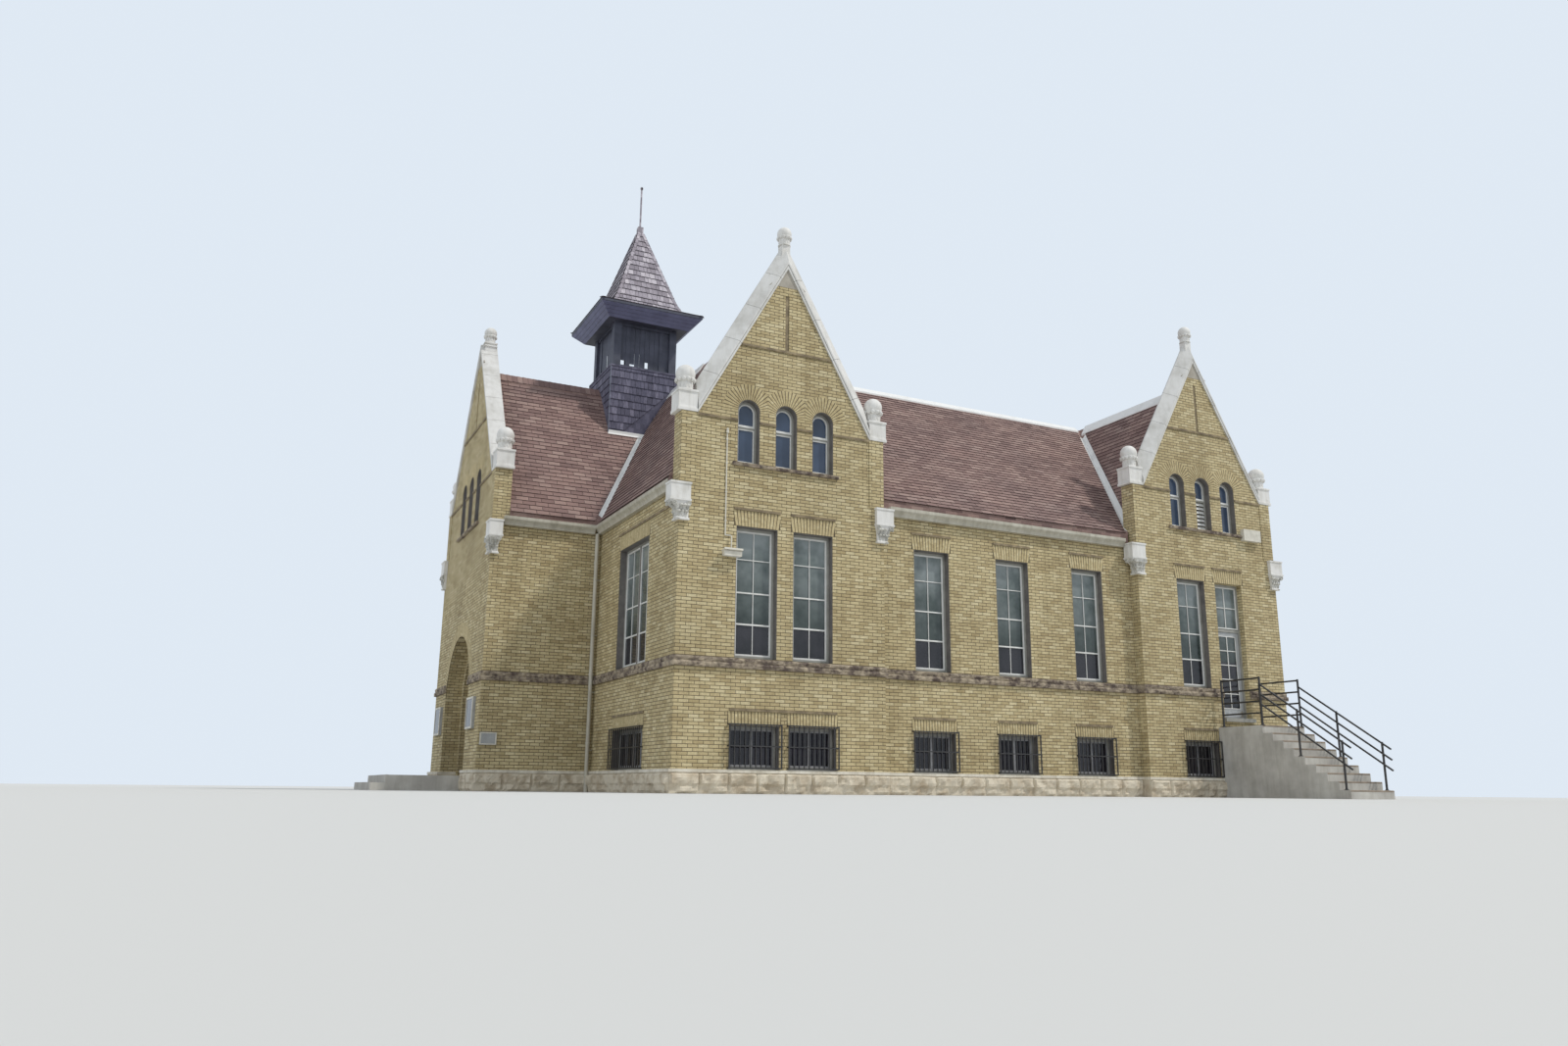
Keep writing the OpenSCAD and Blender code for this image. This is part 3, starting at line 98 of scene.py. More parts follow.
# %% [markdown]
# A few bench tools. `editing` opens a mesh for work and closes it again, and `pick`
# selects the points or faces that fit a rule. An operator works on all that is
# selected, so `only` clears the bench first. `added` puts a primitive on it, and `block`
# adds a cube at its size and place and takes the sharp edges off it, because a real
# arris is never quite sharp and catches a little light.

# %% Bench tools
UPWARDS = math.pi / 2


def only(obj):
    bpy.ops.object.select_all(action="DESELECT")
    obj.select_set(True)
    bpy.context.view_layer.objects.active = obj


@contextmanager
def editing(obj, select_all=True):
    only(obj)
    bpy.ops.object.mode_set(mode="EDIT")
    if select_all:
        bpy.ops.mesh.select_all(action="SELECT")
    yield
    bpy.ops.object.mode_set(mode="OBJECT")


def pick(obj, kind, wanted):
    for flat in (obj.data.vertices, obj.data.edges, obj.data.polygons):
        flat.foreach_set("select", [False] * len(flat))
    for item in getattr(obj.data, kind):
        item.select = wanted(item)


def applied(obj, kind, **settings):
    only(obj)
    mod = obj.modifiers.new(kind.lower(), kind)
    for key, value in settings.items():
        setattr(mod, key, value)
    bpy.ops.object.modifier_apply(modifier=mod.name)
    return obj


def bevelled(obj, width, segments=1):
    return applied(obj, "BEVEL", width=width, segments=segments) if width else obj


def settle(obj):
    only(obj)
    bpy.ops.object.transform_apply(location=True, rotation=True, scale=True)
    return obj


def added(operator, **settings):
    bpy.ops.object.select_all(action="DESELECT")
    operator(**settings)
    return settle(bpy.context.object)


def block(lo, hi, bevel=0.0, segments=1):
    middle = [(a + b) / 2 for a, b in zip(lo, hi)]
    size = [b - a for a, b in zip(lo, hi)]
    cube = added(bpy.ops.mesh.primitive_cube_add, size=1, location=middle, scale=size)
    return bevelled(cube, bevel, segments)


def rod(start, end, radius, sides=12):
    start, way = Vector(start), Vector(end) - Vector(start)
    return added(bpy.ops.mesh.primitive_cylinder_add, vertices=sides, radius=radius, depth=way.length,
                 location=start + way / 2, rotation=way.to_track_quat("Z", "Y").to_euler())


def disc(radius, depth, y=0.0):
    return added(bpy.ops.mesh.primitive_cylinder_add, vertices=48, radius=radius, depth=depth,
                 location=(0, y, 0), rotation=(UPWARDS, 0, 0))


print("bench ready")

# %% [markdown]
# What repeats is made once and copied. `placed` copies a mesh to another spot, `hung`
# does that for many spots, and `joined` makes one mesh of many. `cut_off` saws a mesh
# along planes and closes the cut, and `laid` moves it first. `piece` names a finished
# mesh, gives it its material and hangs it on the building, or on the door where that
# is said.

# %% Copying, cutting and naming
def placed(obj, matrix):
    new = obj.copy()
    new.data = obj.data.copy()
    new.data.transform(matrix)
    if matrix.determinant() < 0:
        new.data.flip_normals()
    bpy.context.collection.objects.link(new)
    return new


def joined(parts):
    bpy.ops.object.select_all(action="DESELECT")
    for part in parts:
        part.select_set(True)
    bpy.context.view_layer.objects.active = parts[0]
    if len(parts) > 1:
        bpy.ops.object.join()
    return parts[0]


def scrap(*parts):
    for part in parts:
        bpy.data.objects.remove(part)


def hung(obj, spots):
    copies = [placed(obj, matrix) for matrix in spots]
    scrap(obj)
    return joined(copies)


def cut_off(obj, *planes):
    for point, normal in planes:
        with editing(obj):
            bpy.ops.mesh.bisect(plane_co=point, plane_no=normal, clear_outer=True, use_fill=True)
    return obj


def laid(obj, matrix, *planes):
    obj.data.transform(matrix)
    return cut_off(obj, *planes)


def rotated(obj, angle, axis, centre):
    only(obj)
    bpy.ops.transform.rotate(value=angle, orient_axis=axis, center_override=centre)
    return settle(obj)


def piece(name, obj, material, body="building"):
    obj.name = obj.data.name = name
    obj.data.materials.clear()
    obj.data.materials.append(material)
    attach(obj, body)
    print(name, "faces", len(obj.data.polygons))
    return obj


print("copying ready")

# %% [markdown]
# A finish is a small graph of shading nodes. `node` adds one node and sets or links its
# inputs. `Look` holds one material and the steps that all finishes are made of: a soft
# noise, a ramp of colours over a pattern, a multiplied tone, and a bump.

# %% Shading tools
def node(tree, kind, inputs=(), **settings):
    made = tree.nodes.new("ShaderNode" + kind)
    for key, value in settings.items():
        setattr(made, key, value)
    for key, value in dict(inputs).items():
        if isinstance(value, bpy.types.NodeSocket):
            tree.links.new(value, made.inputs[key])
        else:
            made.inputs[key].default_value = value
    return made.outputs


class Look:
    def __init__(self, name, color, roughness, metallic=0.0):
        self.mat = bpy.data.materials.new(name)
        self.mat.use_nodes = True
        self.shader = self.mat.node_tree.nodes["Principled BSDF"]
        self.put("Base Color", (*color, 1))
        self.put("Roughness", roughness)
        self.put("Metallic", metallic)

    def put(self, socket, value):
        if isinstance(value, bpy.types.NodeSocket):
            self.mat.node_tree.links.new(value, self.shader.inputs[socket])
        else:
            self.shader.inputs[socket].default_value = value

    def node(self, kind, inputs=(), **settings):
        return node(self.mat.node_tree, kind, inputs, **settings)

    def here(self, kind="Object"):
        return self.node("TexCoord")[kind]

    def noise(self, scale, detail=4.0, roughness=0.6, stretch=None):
        vector = self.here()
        if stretch:
            vector = self.node("Mapping", {0: vector, "Scale": stretch})[0]
        return self.node("TexNoise", {
            "Vector": vector, "Scale": scale, "Detail": detail, "Roughness": roughness})["Fac"]

    def ramp(self, source, *stops):
        colors = self.node("ValToRGB", {0: source})[0]
        points = colors.node.color_ramp.elements
        while len(points) < len(stops):
            points.new(0.5)
        for point, (place, color) in zip(points, stops):
            point.position = place
            point.color = (*color, 1)
        return colors

    def blend(self, kind, factor, first, second):
        return self.node("Mix", {0: factor, 6: first, 7: second}, data_type="RGBA", blend_type=kind)[2]

    def toned(self, color, factor, source, *stops):
        return self.blend("MULTIPLY", factor, color, self.ramp(source, *stops))

    def bump(self, height, distance, strength=1.0):
        relief = self.node("Bump", {"Height": height, "Distance": distance, "Strength": strength})
        self.put("Normal", relief[0])


print("shading tools ready")

# %% [markdown]
# The floor is a wide pale sheet that carries the building's shadow. The backdrop is
# the world: the camera sees it pale, while the light that it gives stays soft and
# plain.

# %% Floor, light and camera
floor = added(bpy.ops.mesh.primitive_plane_add, size=400, location=(7, 4, -0.002))
floor.name = "studio_floor"
floor.data.materials.append(Look("floor_paint", (0.62, 0.62, 0.60), 0.9).mat)

world = bpy.data.worlds.new("studio")
bpy.context.scene.world = world
world.use_nodes = True
sky_tree = world.node_tree
ray = node(sky_tree, "LightPath")
seen = ray["Is Camera Ray"]
for way in ("Is Transmission Ray", "Is Glossy Ray"):
    seen = node(sky_tree, "Math", {0: seen, 1: ray[way]}, operation="MAXIMUM")[0]
sky = node(sky_tree, "Background", {"Color": (0.78, 0.86, 0.95, 1), "Strength": 0.95})[0]
fill = node(sky_tree, "Background", {"Color": (0.86, 0.92, 1.0, 1), "Strength": 0.62})[0]
mixed = node(sky_tree, "MixShader", {0: seen, 1: fill, 2: sky})[0]
sky_tree.links.new(mixed, sky_tree.nodes["World Output"].inputs[0])

for name, strength, angle, rotation, color in (
        ("key_light", 2.0, 3, (37, 0, 54), (1.0, 0.97, 0.92)),
        ("side_light", 0.35, 30, (62, 0, -60), (0.92, 0.96, 1.0))):
    light = bpy.data.lights.new(name, "SUN")
    light.energy, light.angle, light.color = strength, math.radians(angle), color
    lamp = bpy.data.objects.new(name, light)
    lamp.rotation_euler = [math.radians(v) for v in rotation]
    bpy.context.collection.objects.link(lamp)

lens = bpy.data.cameras.new("camera")
lens.sensor_width, lens.lens, lens.clip_end = 36.0, 25.99, 400
camera = bpy.data.objects.new("camera", lens)
camera.location = (-7.727, -20.269, 0.075)
camera.rotation_euler = (spin(-26.348) @ spin(103.278, "X") @ spin(0.526)).to_euler()
bpy.context.collection.objects.link(camera)
bpy.context.scene.camera = camera
bpy.context.scene.view_settings.view_transform = "Standard"
print("camera at", tuple(camera.location))

# %% [markdown]
# Brick is one pattern for every wall: the pattern's X follows whichever horizontal axis
# the wall runs along, and its Y is the height, so courses of 70 mm line up round the
# corners as real ones do. Each brick gets its own shade of cream, and soot and damp
# darken large soft patches and long streaks.

# %% Brick
MORTAR = (0.125, 0.10, 0.058)
BRICK_TONES = ((0.0, (0.46, 0.37, 0.20)), (0.25, (0.55, 0.455, 0.26)), (0.6, (0.61, 0.515, 0.30)),
               (0.85, (0.65, 0.56, 0.34)), (1.0, (0.71, 0.625, 0.40)))
LABEL_TONES = ((0.0, (0.17, 0.135, 0.09)), (0.5, (0.26, 0.21, 0.135)), (1.0, (0.38, 0.31, 0.195)))
PLAIN = (1.0, 1.0, 1.0)


def wall_pattern(look, width, course, joint):
    spot = look.node("SeparateXYZ", {0: look.here()})
    face = look.node("SeparateXYZ", {0: look.here("Normal")})
    size = look.node("Math", {0: face["X"]}, operation="ABSOLUTE")[0]
    side = look.node("Math", {0: size, 1: 0.6}, operation="GREATER_THAN")[0]
    along = look.node("Mix", {0: side, 2: spot["X"], 3: spot["Y"]})[0]
    flat = look.node("CombineXYZ", {"X": along, "Y": spot["Z"]})[0]
    return look.node("TexBrick", {
        "Vector": flat, "Scale": 1.0, "Brick Width": width, "Row Height": course, "Mortar Size": joint,
        "Mortar Smooth": 0.3, "Color1": (0, 0, 0, 1), "Color2": (1, 1, 1, 1), "Mortar": (0.5, 0.5, 0.5, 1),
    }, offset=0.5)


def speckled(look, color):
    grain = look.noise(34.0, 5.0)
    return grain, look.toned(color, 1.0, grain, (0.30, (0.80, 0.79, 0.76)), (0.62, (1.05, 1.05, 1.04)))


def weathered(look, color):
    color = look.toned(color, 1.0, look.noise(0.55, 5.0), (0.30, (0.80, 0.78, 0.75)),
                       (0.52, (0.97, 0.96, 0.95)), (0.75, (1.04, 1.03, 1.02)))
    return look.toned(color, 0.7, look.noise(1.6, 6.0, 0.65, (3.0, 3.0, 0.35)), (0.34, (0.78, 0.76, 0.72)),
                      (0.56, PLAIN))


def brick_wall():
    look = Look("cream_brick", (0.5, 0.42, 0.23), 0.88)
    courses = wall_pattern(look, 0.215, 0.07, 0.0062)
    grain, color = speckled(look, look.ramp(courses["Color"], *BRICK_TONES))
    joint = look.node("RGB")[0]
    joint.default_value = (*MORTAR, 1)
    look.put("Base Color", weathered(look, look.blend("MIX", courses["Fac"], color, joint)))
    look.bump(look.node("Math", {0: courses["Fac"], 1: -0.7, 2: grain}, operation="MULTIPLY_ADD")[0], 0.010)
    return look.mat


def cut_brick(name, tones, patch):
    look = Look(name, (0.5, 0.42, 0.23), 0.88)
    shade = look.ramp(look.noise(patch, 1.0), *[(0.28 + 0.44 * place, tone) for place, tone in tones])
    grain, color = speckled(look, shade)
    look.put("Base Color", weathered(look, color))
    look.bump(grain, 0.003, 0.6)
    return look.mat


BRICK = brick_wall()
SOLDIER_BRICK = cut_brick("soldier_brick", BRICK_TONES, 11.0)
LABEL_BRICK = cut_brick("label_brick", LABEL_TONES, 5.0)
MORTAR_BED = cut_brick("mortar_bed", ((0.0, (0.13, 0.105, 0.065)), (1.0, MORTAR)), 3.0)
print("brick finishes ready")

# %% [markdown]
# Stone, render and paint. Each is a soft noise of two tones with a finer grain for its
# height and its wear. The white cut stone is painted, so it only shows rain marks and a
# little dirt where water runs off. One helper makes them all from a light tone, a dark
# tone, a patch size and a grain size.

# %% Stone, concrete and paint
def mottled(name, light, dark, patch, grain, rough, height, low=0.35, high=0.65, metallic=0.0, streaks=0.0):
    look = Look(name, light, rough, metallic)
    color = look.ramp(look.noise(patch, 6.0), (low, dark), (high, light))
    if streaks:
        color = look.toned(color, streaks, look.noise(2.2, 6.0, stretch=(4.0, 4.0, 0.5)),
                           (0.35, (0.68, 0.66, 0.62)), (0.55, PLAIN))
    look.put("Base Color", color)
    fine = look.noise(grain, 8.0, 0.7)
    look.bump(fine, height, 0.8)
    look.put("Roughness", look.ramp(fine, (0.3, (rough * 0.86,) * 3), (0.7, (min(1.0, rough * 1.1),) * 3)))
    return look.mat


ROCK_STONE = mottled("rock_faced_stone", (.64, .575, .455), (.45, .375, .27), 3.5, 20, .92, .014, .36, .56)
DARK_STONE = mottled("dark_band_stone", (.42, .35, .255), (.105, .078, .064), 6.5, 22, .93, .020, .38, .62)
LEDGE_STONE = mottled("ledge_stone", (.80, .76, .66), (.58, .53, .43), 3, 40, .85, .004, streaks=.5)
WHITE_STONE = mottled("painted_stone", (.76, .75, .72), (.60, .585, .54), 2.2, 45, .72, .0025, .28, .5,
                      streaks=.45)
COPING_STONE = mottled("coping_stone", (.70, .695, .67), (.52, .51, .475), 1.6, 45, .8, .003, .30, .55,
                       streaks=.3)
TIP_STONE = mottled("tip_stone", (.44, .41, .35), (.33, .30, .25), 3, 40, .88, .003)
CARVED_STONE = mottled("carved_stone", (.66, .65, .60), (.36, .35, .31), 9, 45, .8, .003)
CONCRETE = mottled("concrete", (.56, .545, .50), (.42, .40, .365), 1.8, 60, .9, .003, streaks=.4)
STEP_EDGE = mottled("step_edge", (.33, .27, .21), (.21, .17, .13), 4, 60, .88, .002)
FLOOR_BOARDS = mottled("floor_boards", (.36, .25, .15), (.24, .16, .09), 3, 30, .6, .002)
WHITE_PAINT = mottled("white_sash_paint", (.78, .78, .755), (.68, .675, .64), 6, 70, .42, .0008)
CELLAR_PAINT = mottled("cellar_sash_paint", (.34, .34, .35), (.22, .22, .23), 6, 70, .5, .0008)
GREY_TRIM = mottled("grey_trim_paint", (.36, .355, .32), (.28, .275, .245), 5, 70, .5, .0008)
REVEAL_PAINT = mottled("grey_lining_paint", (.185, .170, .155), (.125, .115, .108), 5, 70, .55, .0008)
BLACK_PAINT = mottled("black_rail_paint", (.022, .022, .024), (.045, .042, .04), 6, 60, .38, .0006)
DOOR_PAINT = mottled("grey_door_paint", (.44, .455, .46), (.36, .37, .37), 5, 60, .4, .0006)
WHITE_METAL = mottled("white_sheet", (.80, .80, .78), (.66, .655, .63), 2, 30, .45, .001, .25, .5)
GUTTER_METAL = mottled("gutter_paint", (.55, .525, .44), (.43, .405, .33), 2.2, 40, .5, .001, streaks=.6)
LAMP_METAL = mottled("lamp_and_conduit_paint", (.72, .69, .60), (.56, .53, .45), 8, 60, .5, .0006)
BOARD_METAL = mottled("board_case", (.40, .41, .405), (.31, .315, .31), 6, 50, .5, .0006)
CORNER_METAL = mottled("weathered_corner_metal", (.24, .26, .33), (.16, .175, .235), 4, 60, .6, .001)
STEEL = mottled("brushed_hardware", (.56, .55, .53), (.42, .41, .39), 14, 120, .32, .0003, metallic=1)
DARK_WOOD = mottled("dark_painted_boards", (.070, .076, .110), (.040, .044, .066), 3, 60, .6, .0015)
SOFFIT_WOOD = mottled("soffit_paint", (.165, .175, .29), (.115, .122, .205), 3, 60, .6, .0015)
DOOR_WOOD = mottled("dark_door_wood", (.10, .058, .032), (.055, .03, .017), 5, 50, .45, .001)
print("stone and paint ready")

# %% [markdown]
# Window glass stays dark from outside by day, because the rooms behind it are dim. A
# thin, slightly blue sheet with a very smooth face shows the pale sky in it and a
# little of the room behind. Old panes are never quite flat, so a broad faint bump
# bends what they reflect. On the tall windows the glass above the lowest panes gets
# lighter towards the top, in soft patches.

# %% Glass
def window_glass(name, color, alpha, upper_tones=None):
    look = Look(name, color, 0.04)
    look.put("IOR", 1.5)
    look.put("Alpha", alpha)
    seen = look.ramp(look.noise(0.9, 2.0), *[
        (place, [share * v for v in color]) for place, share in ((0.3, 0.6), (0.7, 1.35))])
    if upper_tones:
        # Above the lowest panes the glass gets lighter towards the top.
        height = look.node("SeparateXYZ", {0: look.here()})["Z"]
        height = look.node("MapRange", {"Value": height, "From Min": 2.6, "From Max": 5.2})["Result"]
        upper_ramp = look.ramp(height, (0.25, color), (0.28, upper_tones[0]), (0.95, upper_tones[1]))
        seen = look.toned(upper_ramp, 1.0, look.noise(1.7, 3.0),
                          (0.32, (0.45, 0.50, 0.48)), (0.62, (1.1, 1.08, 1.08)))
    look.put("Base Color", seen)
    look.bump(look.noise(2.4, 1.0), 0.006, 0.35)
    return look.mat


UPPER_PANE_TONES = (0.070, 0.090, 0.085), (0.26, 0.30, 0.30)
GLASS = window_glass("window_glass", (0.040, 0.040, 0.048), 0.90, UPPER_PANE_TONES)
CELLAR_GLASS = window_glass("cellar_glass", (0.016, 0.014, 0.020), 0.92)
ATTIC_GLASS = window_glass("attic_glass", (0.065, 0.095, 0.155), 0.92)
print("glass ready")

# %% [markdown]
# Shingles come in two kinds. The sheathing under them, which is a construction part, has
# its tabs as a pattern. The loose tabs that are laid on it later each carry a number
# called "tone", which picks their colour at random; wooden ones also show long fibres.
# Their butts and side edges carry 0, which paints them near black: painted shade under
# each course and in the gaps between tabs.

# %% Shingles
# The first stop of each table, at 0, is near black: painted shade for the butts and side edges of the loose
# tabs. The other stops are the tabs' own tones.
ROOF_TONES_AND_SHADE = ((0.0, (0.060, 0.036, 0.034)), (0.02, (0.20, 0.130, 0.118)), (0.35, (0.26, 0.172, 0.155)),
              (0.7, (0.30, 0.205, 0.182)), (1.0, (0.355, 0.255, 0.225)))
WOOD_TONES_AND_SHADE = ((0.0, (0.016, 0.016, 0.028)), (0.02, (0.088, 0.087, 0.130)), (0.4, (0.114, 0.113, 0.168)),
              (0.75, (0.145, 0.143, 0.206)), (1.0, (0.205, 0.200, 0.275)))
SPIRE_TONES_AND_SHADE = ((0.0, (0.048, 0.043, 0.050)), (0.02, (0.290, 0.264, 0.300)), (0.4, (0.365, 0.336, 0.380)),
               (0.75, (0.450, 0.420, 0.470)), (1.0, (0.640, 0.605, 0.650)))
SLOPE_WING, SLOPE_MAIN, SLOPE_LEFT = 1.7660, 0.9881, 1.4821
BRIGHT_GRAIN = (0.65, (1.16, 1.14, 1.12))


def sheathing(name, tones, width, course, rough, grain=60.0):
    look = Look(name, tones[1][1], rough)
    color = look.ramp(wall_pattern(look, width, course, 0.0)["Color"], *tones)
    color = look.toned(color, 1.0, look.noise(0.8, 5.0),
                       (0.3, (0.78, 0.78, 0.80)), (0.65, (1.1, 1.08, 1.05)))
    fine = look.noise(grain, 6.0, 0.7)
    look.put("Base Color", look.toned(color, 0.8, fine, (0.35, (0.72, 0.72, 0.74)), BRIGHT_GRAIN))
    look.bump(fine, 0.0025, 0.7)
    return look.mat


def strip_sheathing(name, slope):
    return sheathing(name, ROOF_TONES_AND_SHADE, 0.30, 0.14 * slope / math.hypot(1.0, slope), 0.95)


def loose_tabs(name, tones, rough, grain, streaks=0.0):
    look = Look(name, tones[1][1], rough)
    # A tone of 0 on butts and side edges is painted shade; the other values are random tones.
    color = look.ramp(look.node("Attribute", attribute_name="tone")["Fac"], *tones)
    color = look.toned(color, 1.0, look.noise(0.7, 5.0),
                       (0.3, (0.80, 0.80, 0.82)), (0.65, (1.08, 1.06, 1.04)))
    height = look.noise(grain, 6.0, 0.7)
    color = look.toned(color, 0.8, height, (0.35, (0.76, 0.76, 0.78)), BRIGHT_GRAIN)
    if streaks:
        height = look.noise(55.0, 4.0, stretch=(1.0, 1.0, 0.12))
        color = look.toned(color, streaks, height, (0.36, (0.55, 0.55, 0.58)), (0.58, (1.1, 1.1, 1.1)))
    look.put("Base Color", color)
    look.bump(height, 0.003, 0.8)
    return look.mat


ROOF_TABS = loose_tabs("roof_tabs", ROOF_TONES_AND_SHADE, 0.95, 60.0)
TOWER_SHINGLES = loose_tabs("belfry_shingles", WOOD_TONES_AND_SHADE, 0.85, 80.0, 0.8)
SPIRE_SHINGLES = loose_tabs("spire_shingles", SPIRE_TONES_AND_SHADE, 0.85, 80.0, 0.6)
print("shingles ready")

# %% [markdown]
# Every construction part now gets its finish. The parts themselves aren't changed:
# only the material in their slots is.

# %% Finish the construction parts
FINISH = {
    BRICK: "wing_a_front wing_a_side wing_a_rear left_front left_gable left_rear main_front main_rear "
           "wing_c_front wing_c_side wing_c_rear portal_orders",
    LABEL_BRICK: "label_courses", ROCK_STONE: "stone_base", DARK_STONE: "stone_courses",
    LEDGE_STONE: "ledge", WHITE_STONE: "copings pinnacles corbel_blocks",
    CONCRETE: "ground_floor portal_landing side_steps", FLOOR_BOARDS: "main_floor attic_floor",
    GREY_TRIM: "frames", BLACK_PAINT: "window_grilles side_rails", WHITE_PAINT: "louvres",
    GLASS: "glass_main", CELLAR_GLASS: "glass_basement", ATTIC_GLASS: "glass_attic",
    strip_sheathing("shingles_steep", SLOPE_WING): "roof_wing_a roof_wing_c",
    strip_sheathing("shingles_main", SLOPE_MAIN): "roof_main",
    strip_sheathing("shingles_left", SLOPE_LEFT): "roof_left",
    sheathing("wood_shingles_wall", WOOD_TONES_AND_SHADE, 0.12, 0.15, 0.9, 90.0): "tower_base",
    sheathing("wood_shingles_spire", SPIRE_TONES_AND_SHADE, 0.12, 0.12 * 0.93, 0.9, 90.0): "spire",
    WHITE_METAL: "roof_flashings", GUTTER_METAL: "gutters", DARK_WOOD: "bell_stage flared_eave",
    BOARD_METAL: "display_boards", LAMP_METAL: "wall_lights",
    DOOR_PAINT: "side_door", DOOR_WOOD: "portal_doors",
}
finished = [(nodes[name], material) for material, names in FINISH.items() for name in names.split()]
for part, material in finished:
    for slot in part.material_slots:
        slot.material = material
print("finished", len(finished), "of", len(nodes))

# %% [markdown]
# Over each main window the mason set bricks on end, leaning outwards a little to both
# sides, as a flat arch. One head is made on the bench: bricks that are added at their
# place, turned about the middle of the window, and cut off level at the bottom and the
# top, with a bed of mortar behind them. It stands 4 mm proud of the wall and is hung
# over every window of that width.

# %% Flat arches
PROUD, BRICK_EDGE, BRICK_GAP, IN_WALL, SPARE = 0.004, 0.0025, 0.008, 0.01, 0.06
TALL_TOP, LOW_TOP = SILL_Z + WIN_H, BASE_H + LOW_H


def flat_arch(width, height, count, lean):
    pitch, bricks = width / count, []
    for i in range(count):
        x = -width / 2 + pitch * (i + 0.5)
        half = pitch / 2 - BRICK_GAP
        brick = block((x - half, -PROUD, -SPARE), (x + half, IN_WALL, height + SPARE))
        bricks.append(rotated(brick, -math.radians(lean) * 2 * x / width, "Y", (x, 0, height / 2)))
    head = cut_off(joined(bricks), ((0, 0, 0.004), (0, 0, -1)), ((0, 0, height), (0, 0, 1)))
    reach = width / 2 + BRICK_GAP
    bed = block((-reach, -PROUD * 0.35, 0.0), (reach, IN_WALL, height))
    return bevelled(head, BRICK_EDGE), bed


def window_spots(z):
    return [WALLS[wall] @ at(x, 0, z) for wall, xs in WIN_XS.items() for x in xs]


def side_spots(z, *shifts):
    return [WALLS["wing_a_side"] @ at(SIDE_X + shift, 0, z) for shift in shifts]


def attic_spots(z, *shifts):
    return [WALLS[wall] @ at(width / 2 + shift, 0, kneel - ARCH_DROP + z)
            for wall, (width, kneel) in GABLES.items() for shift in shifts]


over_door = WALLS["wing_c_front"] @ at(DOOR_X, 0, TALL_TOP)
heads, beds = [], []
for width, height, count, lean, spots in (
        (WIN_W + 0.10, 0.326, 14, 9, window_spots(TALL_TOP) + [over_door]),
        (LOW_W + 0.06, 0.266, 16, 3, window_spots(LOW_TOP)),
        (SIDE_W + 0.06, 0.326, 28, 6, side_spots(TALL_TOP, 0)),
        (SIDE_W + 0.06, 0.266, 28, 3, side_spots(LOW_TOP, 0))):
    for made, kept in zip(flat_arch(width, height, count, lean), (heads, beds)):
        kept.append(hung(made, spots))
piece("flat_arch_bricks", joined(heads), SOLDIER_BRICK)

# %% [markdown]
# The attic windows have round heads. Their ring is made of long bricks set like the
# rays of a sun. One ray is modelled as a wedge, copied round the half circle, and
# neighbouring rings are cut off on the line where they meet. The portal gets a wide one.

# %% Arch rings
def ray_brick(inner, outer, angle):
    half_in, half_out = inner * math.tan(angle / 2) - 0.005, outer * math.tan(angle / 2) - 0.010
    brick = block((-half_out, -PROUD, inner), (half_out, IN_WALL, outer))
    pick(brick, "vertices", lambda vert: vert.co.z < (inner + outer) / 2)
    with editing(brick, False):
        bpy.ops.transform.resize(value=(half_in / half_out, 1, 1), center_override=(0, 0, inner))
    return bevelled(brick, BRICK_EDGE)


def ring(radius, count, *planes, depth=0.34):
    ray = ray_brick(radius, radius + depth, math.pi / count)
    arc = cut_off(hung(ray, [spin(90 - 180 / count * (i + 0.5), "Y") for i in range(count)]), *planes)
    bed, bore = disc(radius + depth - 0.004, 0.012, 0.0045), disc(radius, 0.1)
    applied(bed, "BOOLEAN", operation="DIFFERENCE", object=bore, solver="EXACT")
    scrap(bore)
    return arc, cut_off(bed, ((0, 0, 0), (0, 0, -1)), *planes)


meet = ARCH_GAP / 2 - 0.003
right, left = ((meet, 0, 0), (1, 0, 0)), ((-meet, 0, 0), (-1, 0, 0))
spring = ARCH_H - ARCH_W / 2
arcs = []
for radius, count, planes, spots in (
        (ARCH_W / 2, 21, [right], attic_spots(spring, -ARCH_GAP)),
        (ARCH_W / 2, 21, [right, left], attic_spots(spring, 0)),
        (ARCH_W / 2, 21, [left], attic_spots(spring, ARCH_GAP)),
        (1.4, 63, [], [WALLS["left_gable"] @ at(LEFT_D / 2, 0, PORTAL_SPRING)])):
    for made, kept in zip(ring(radius, count, *planes), (arcs, beds)):
        kept.append(hung(made, spots))
piece("arch_ring_bricks", joined(arcs), SOLDIER_BRICK)
piece("mortar_beds", joined(beds), MORTAR_BED)

# %% [markdown]
# Rock-faced stone is squared at its edges and left rough on its face. Each stone is a
# grid whose inner points are pulled out a little, the upper ones a little more, so
# that it throws a shadow on its own foot. A row of them is set along each wall, and a
# cloud texture then knocks all the faces about, so that no two stones are alike. The
# edges stay put, as on real stones, and leave dark joints between.

# %% Rock-faced stones
clouds = bpy.data.textures.new("rock_clouds", "CLOUDS")
clouds.noise_depth = 3
SIDE_JOINT, BED_JOINT, KEPT_EDGE = 0.012, 0.010, 0.002


def upright(operator, width, height, middle=0.0, **settings):
    obj = added(operator, size=1, rotation=(UPWARDS, 0, 0), **settings)
    bpy.ops.transform.resize(value=(width, 1, height), center_override=(0, 0, 0))
    bpy.ops.transform.translate(value=(0, 0, middle))
    return settle(obj)


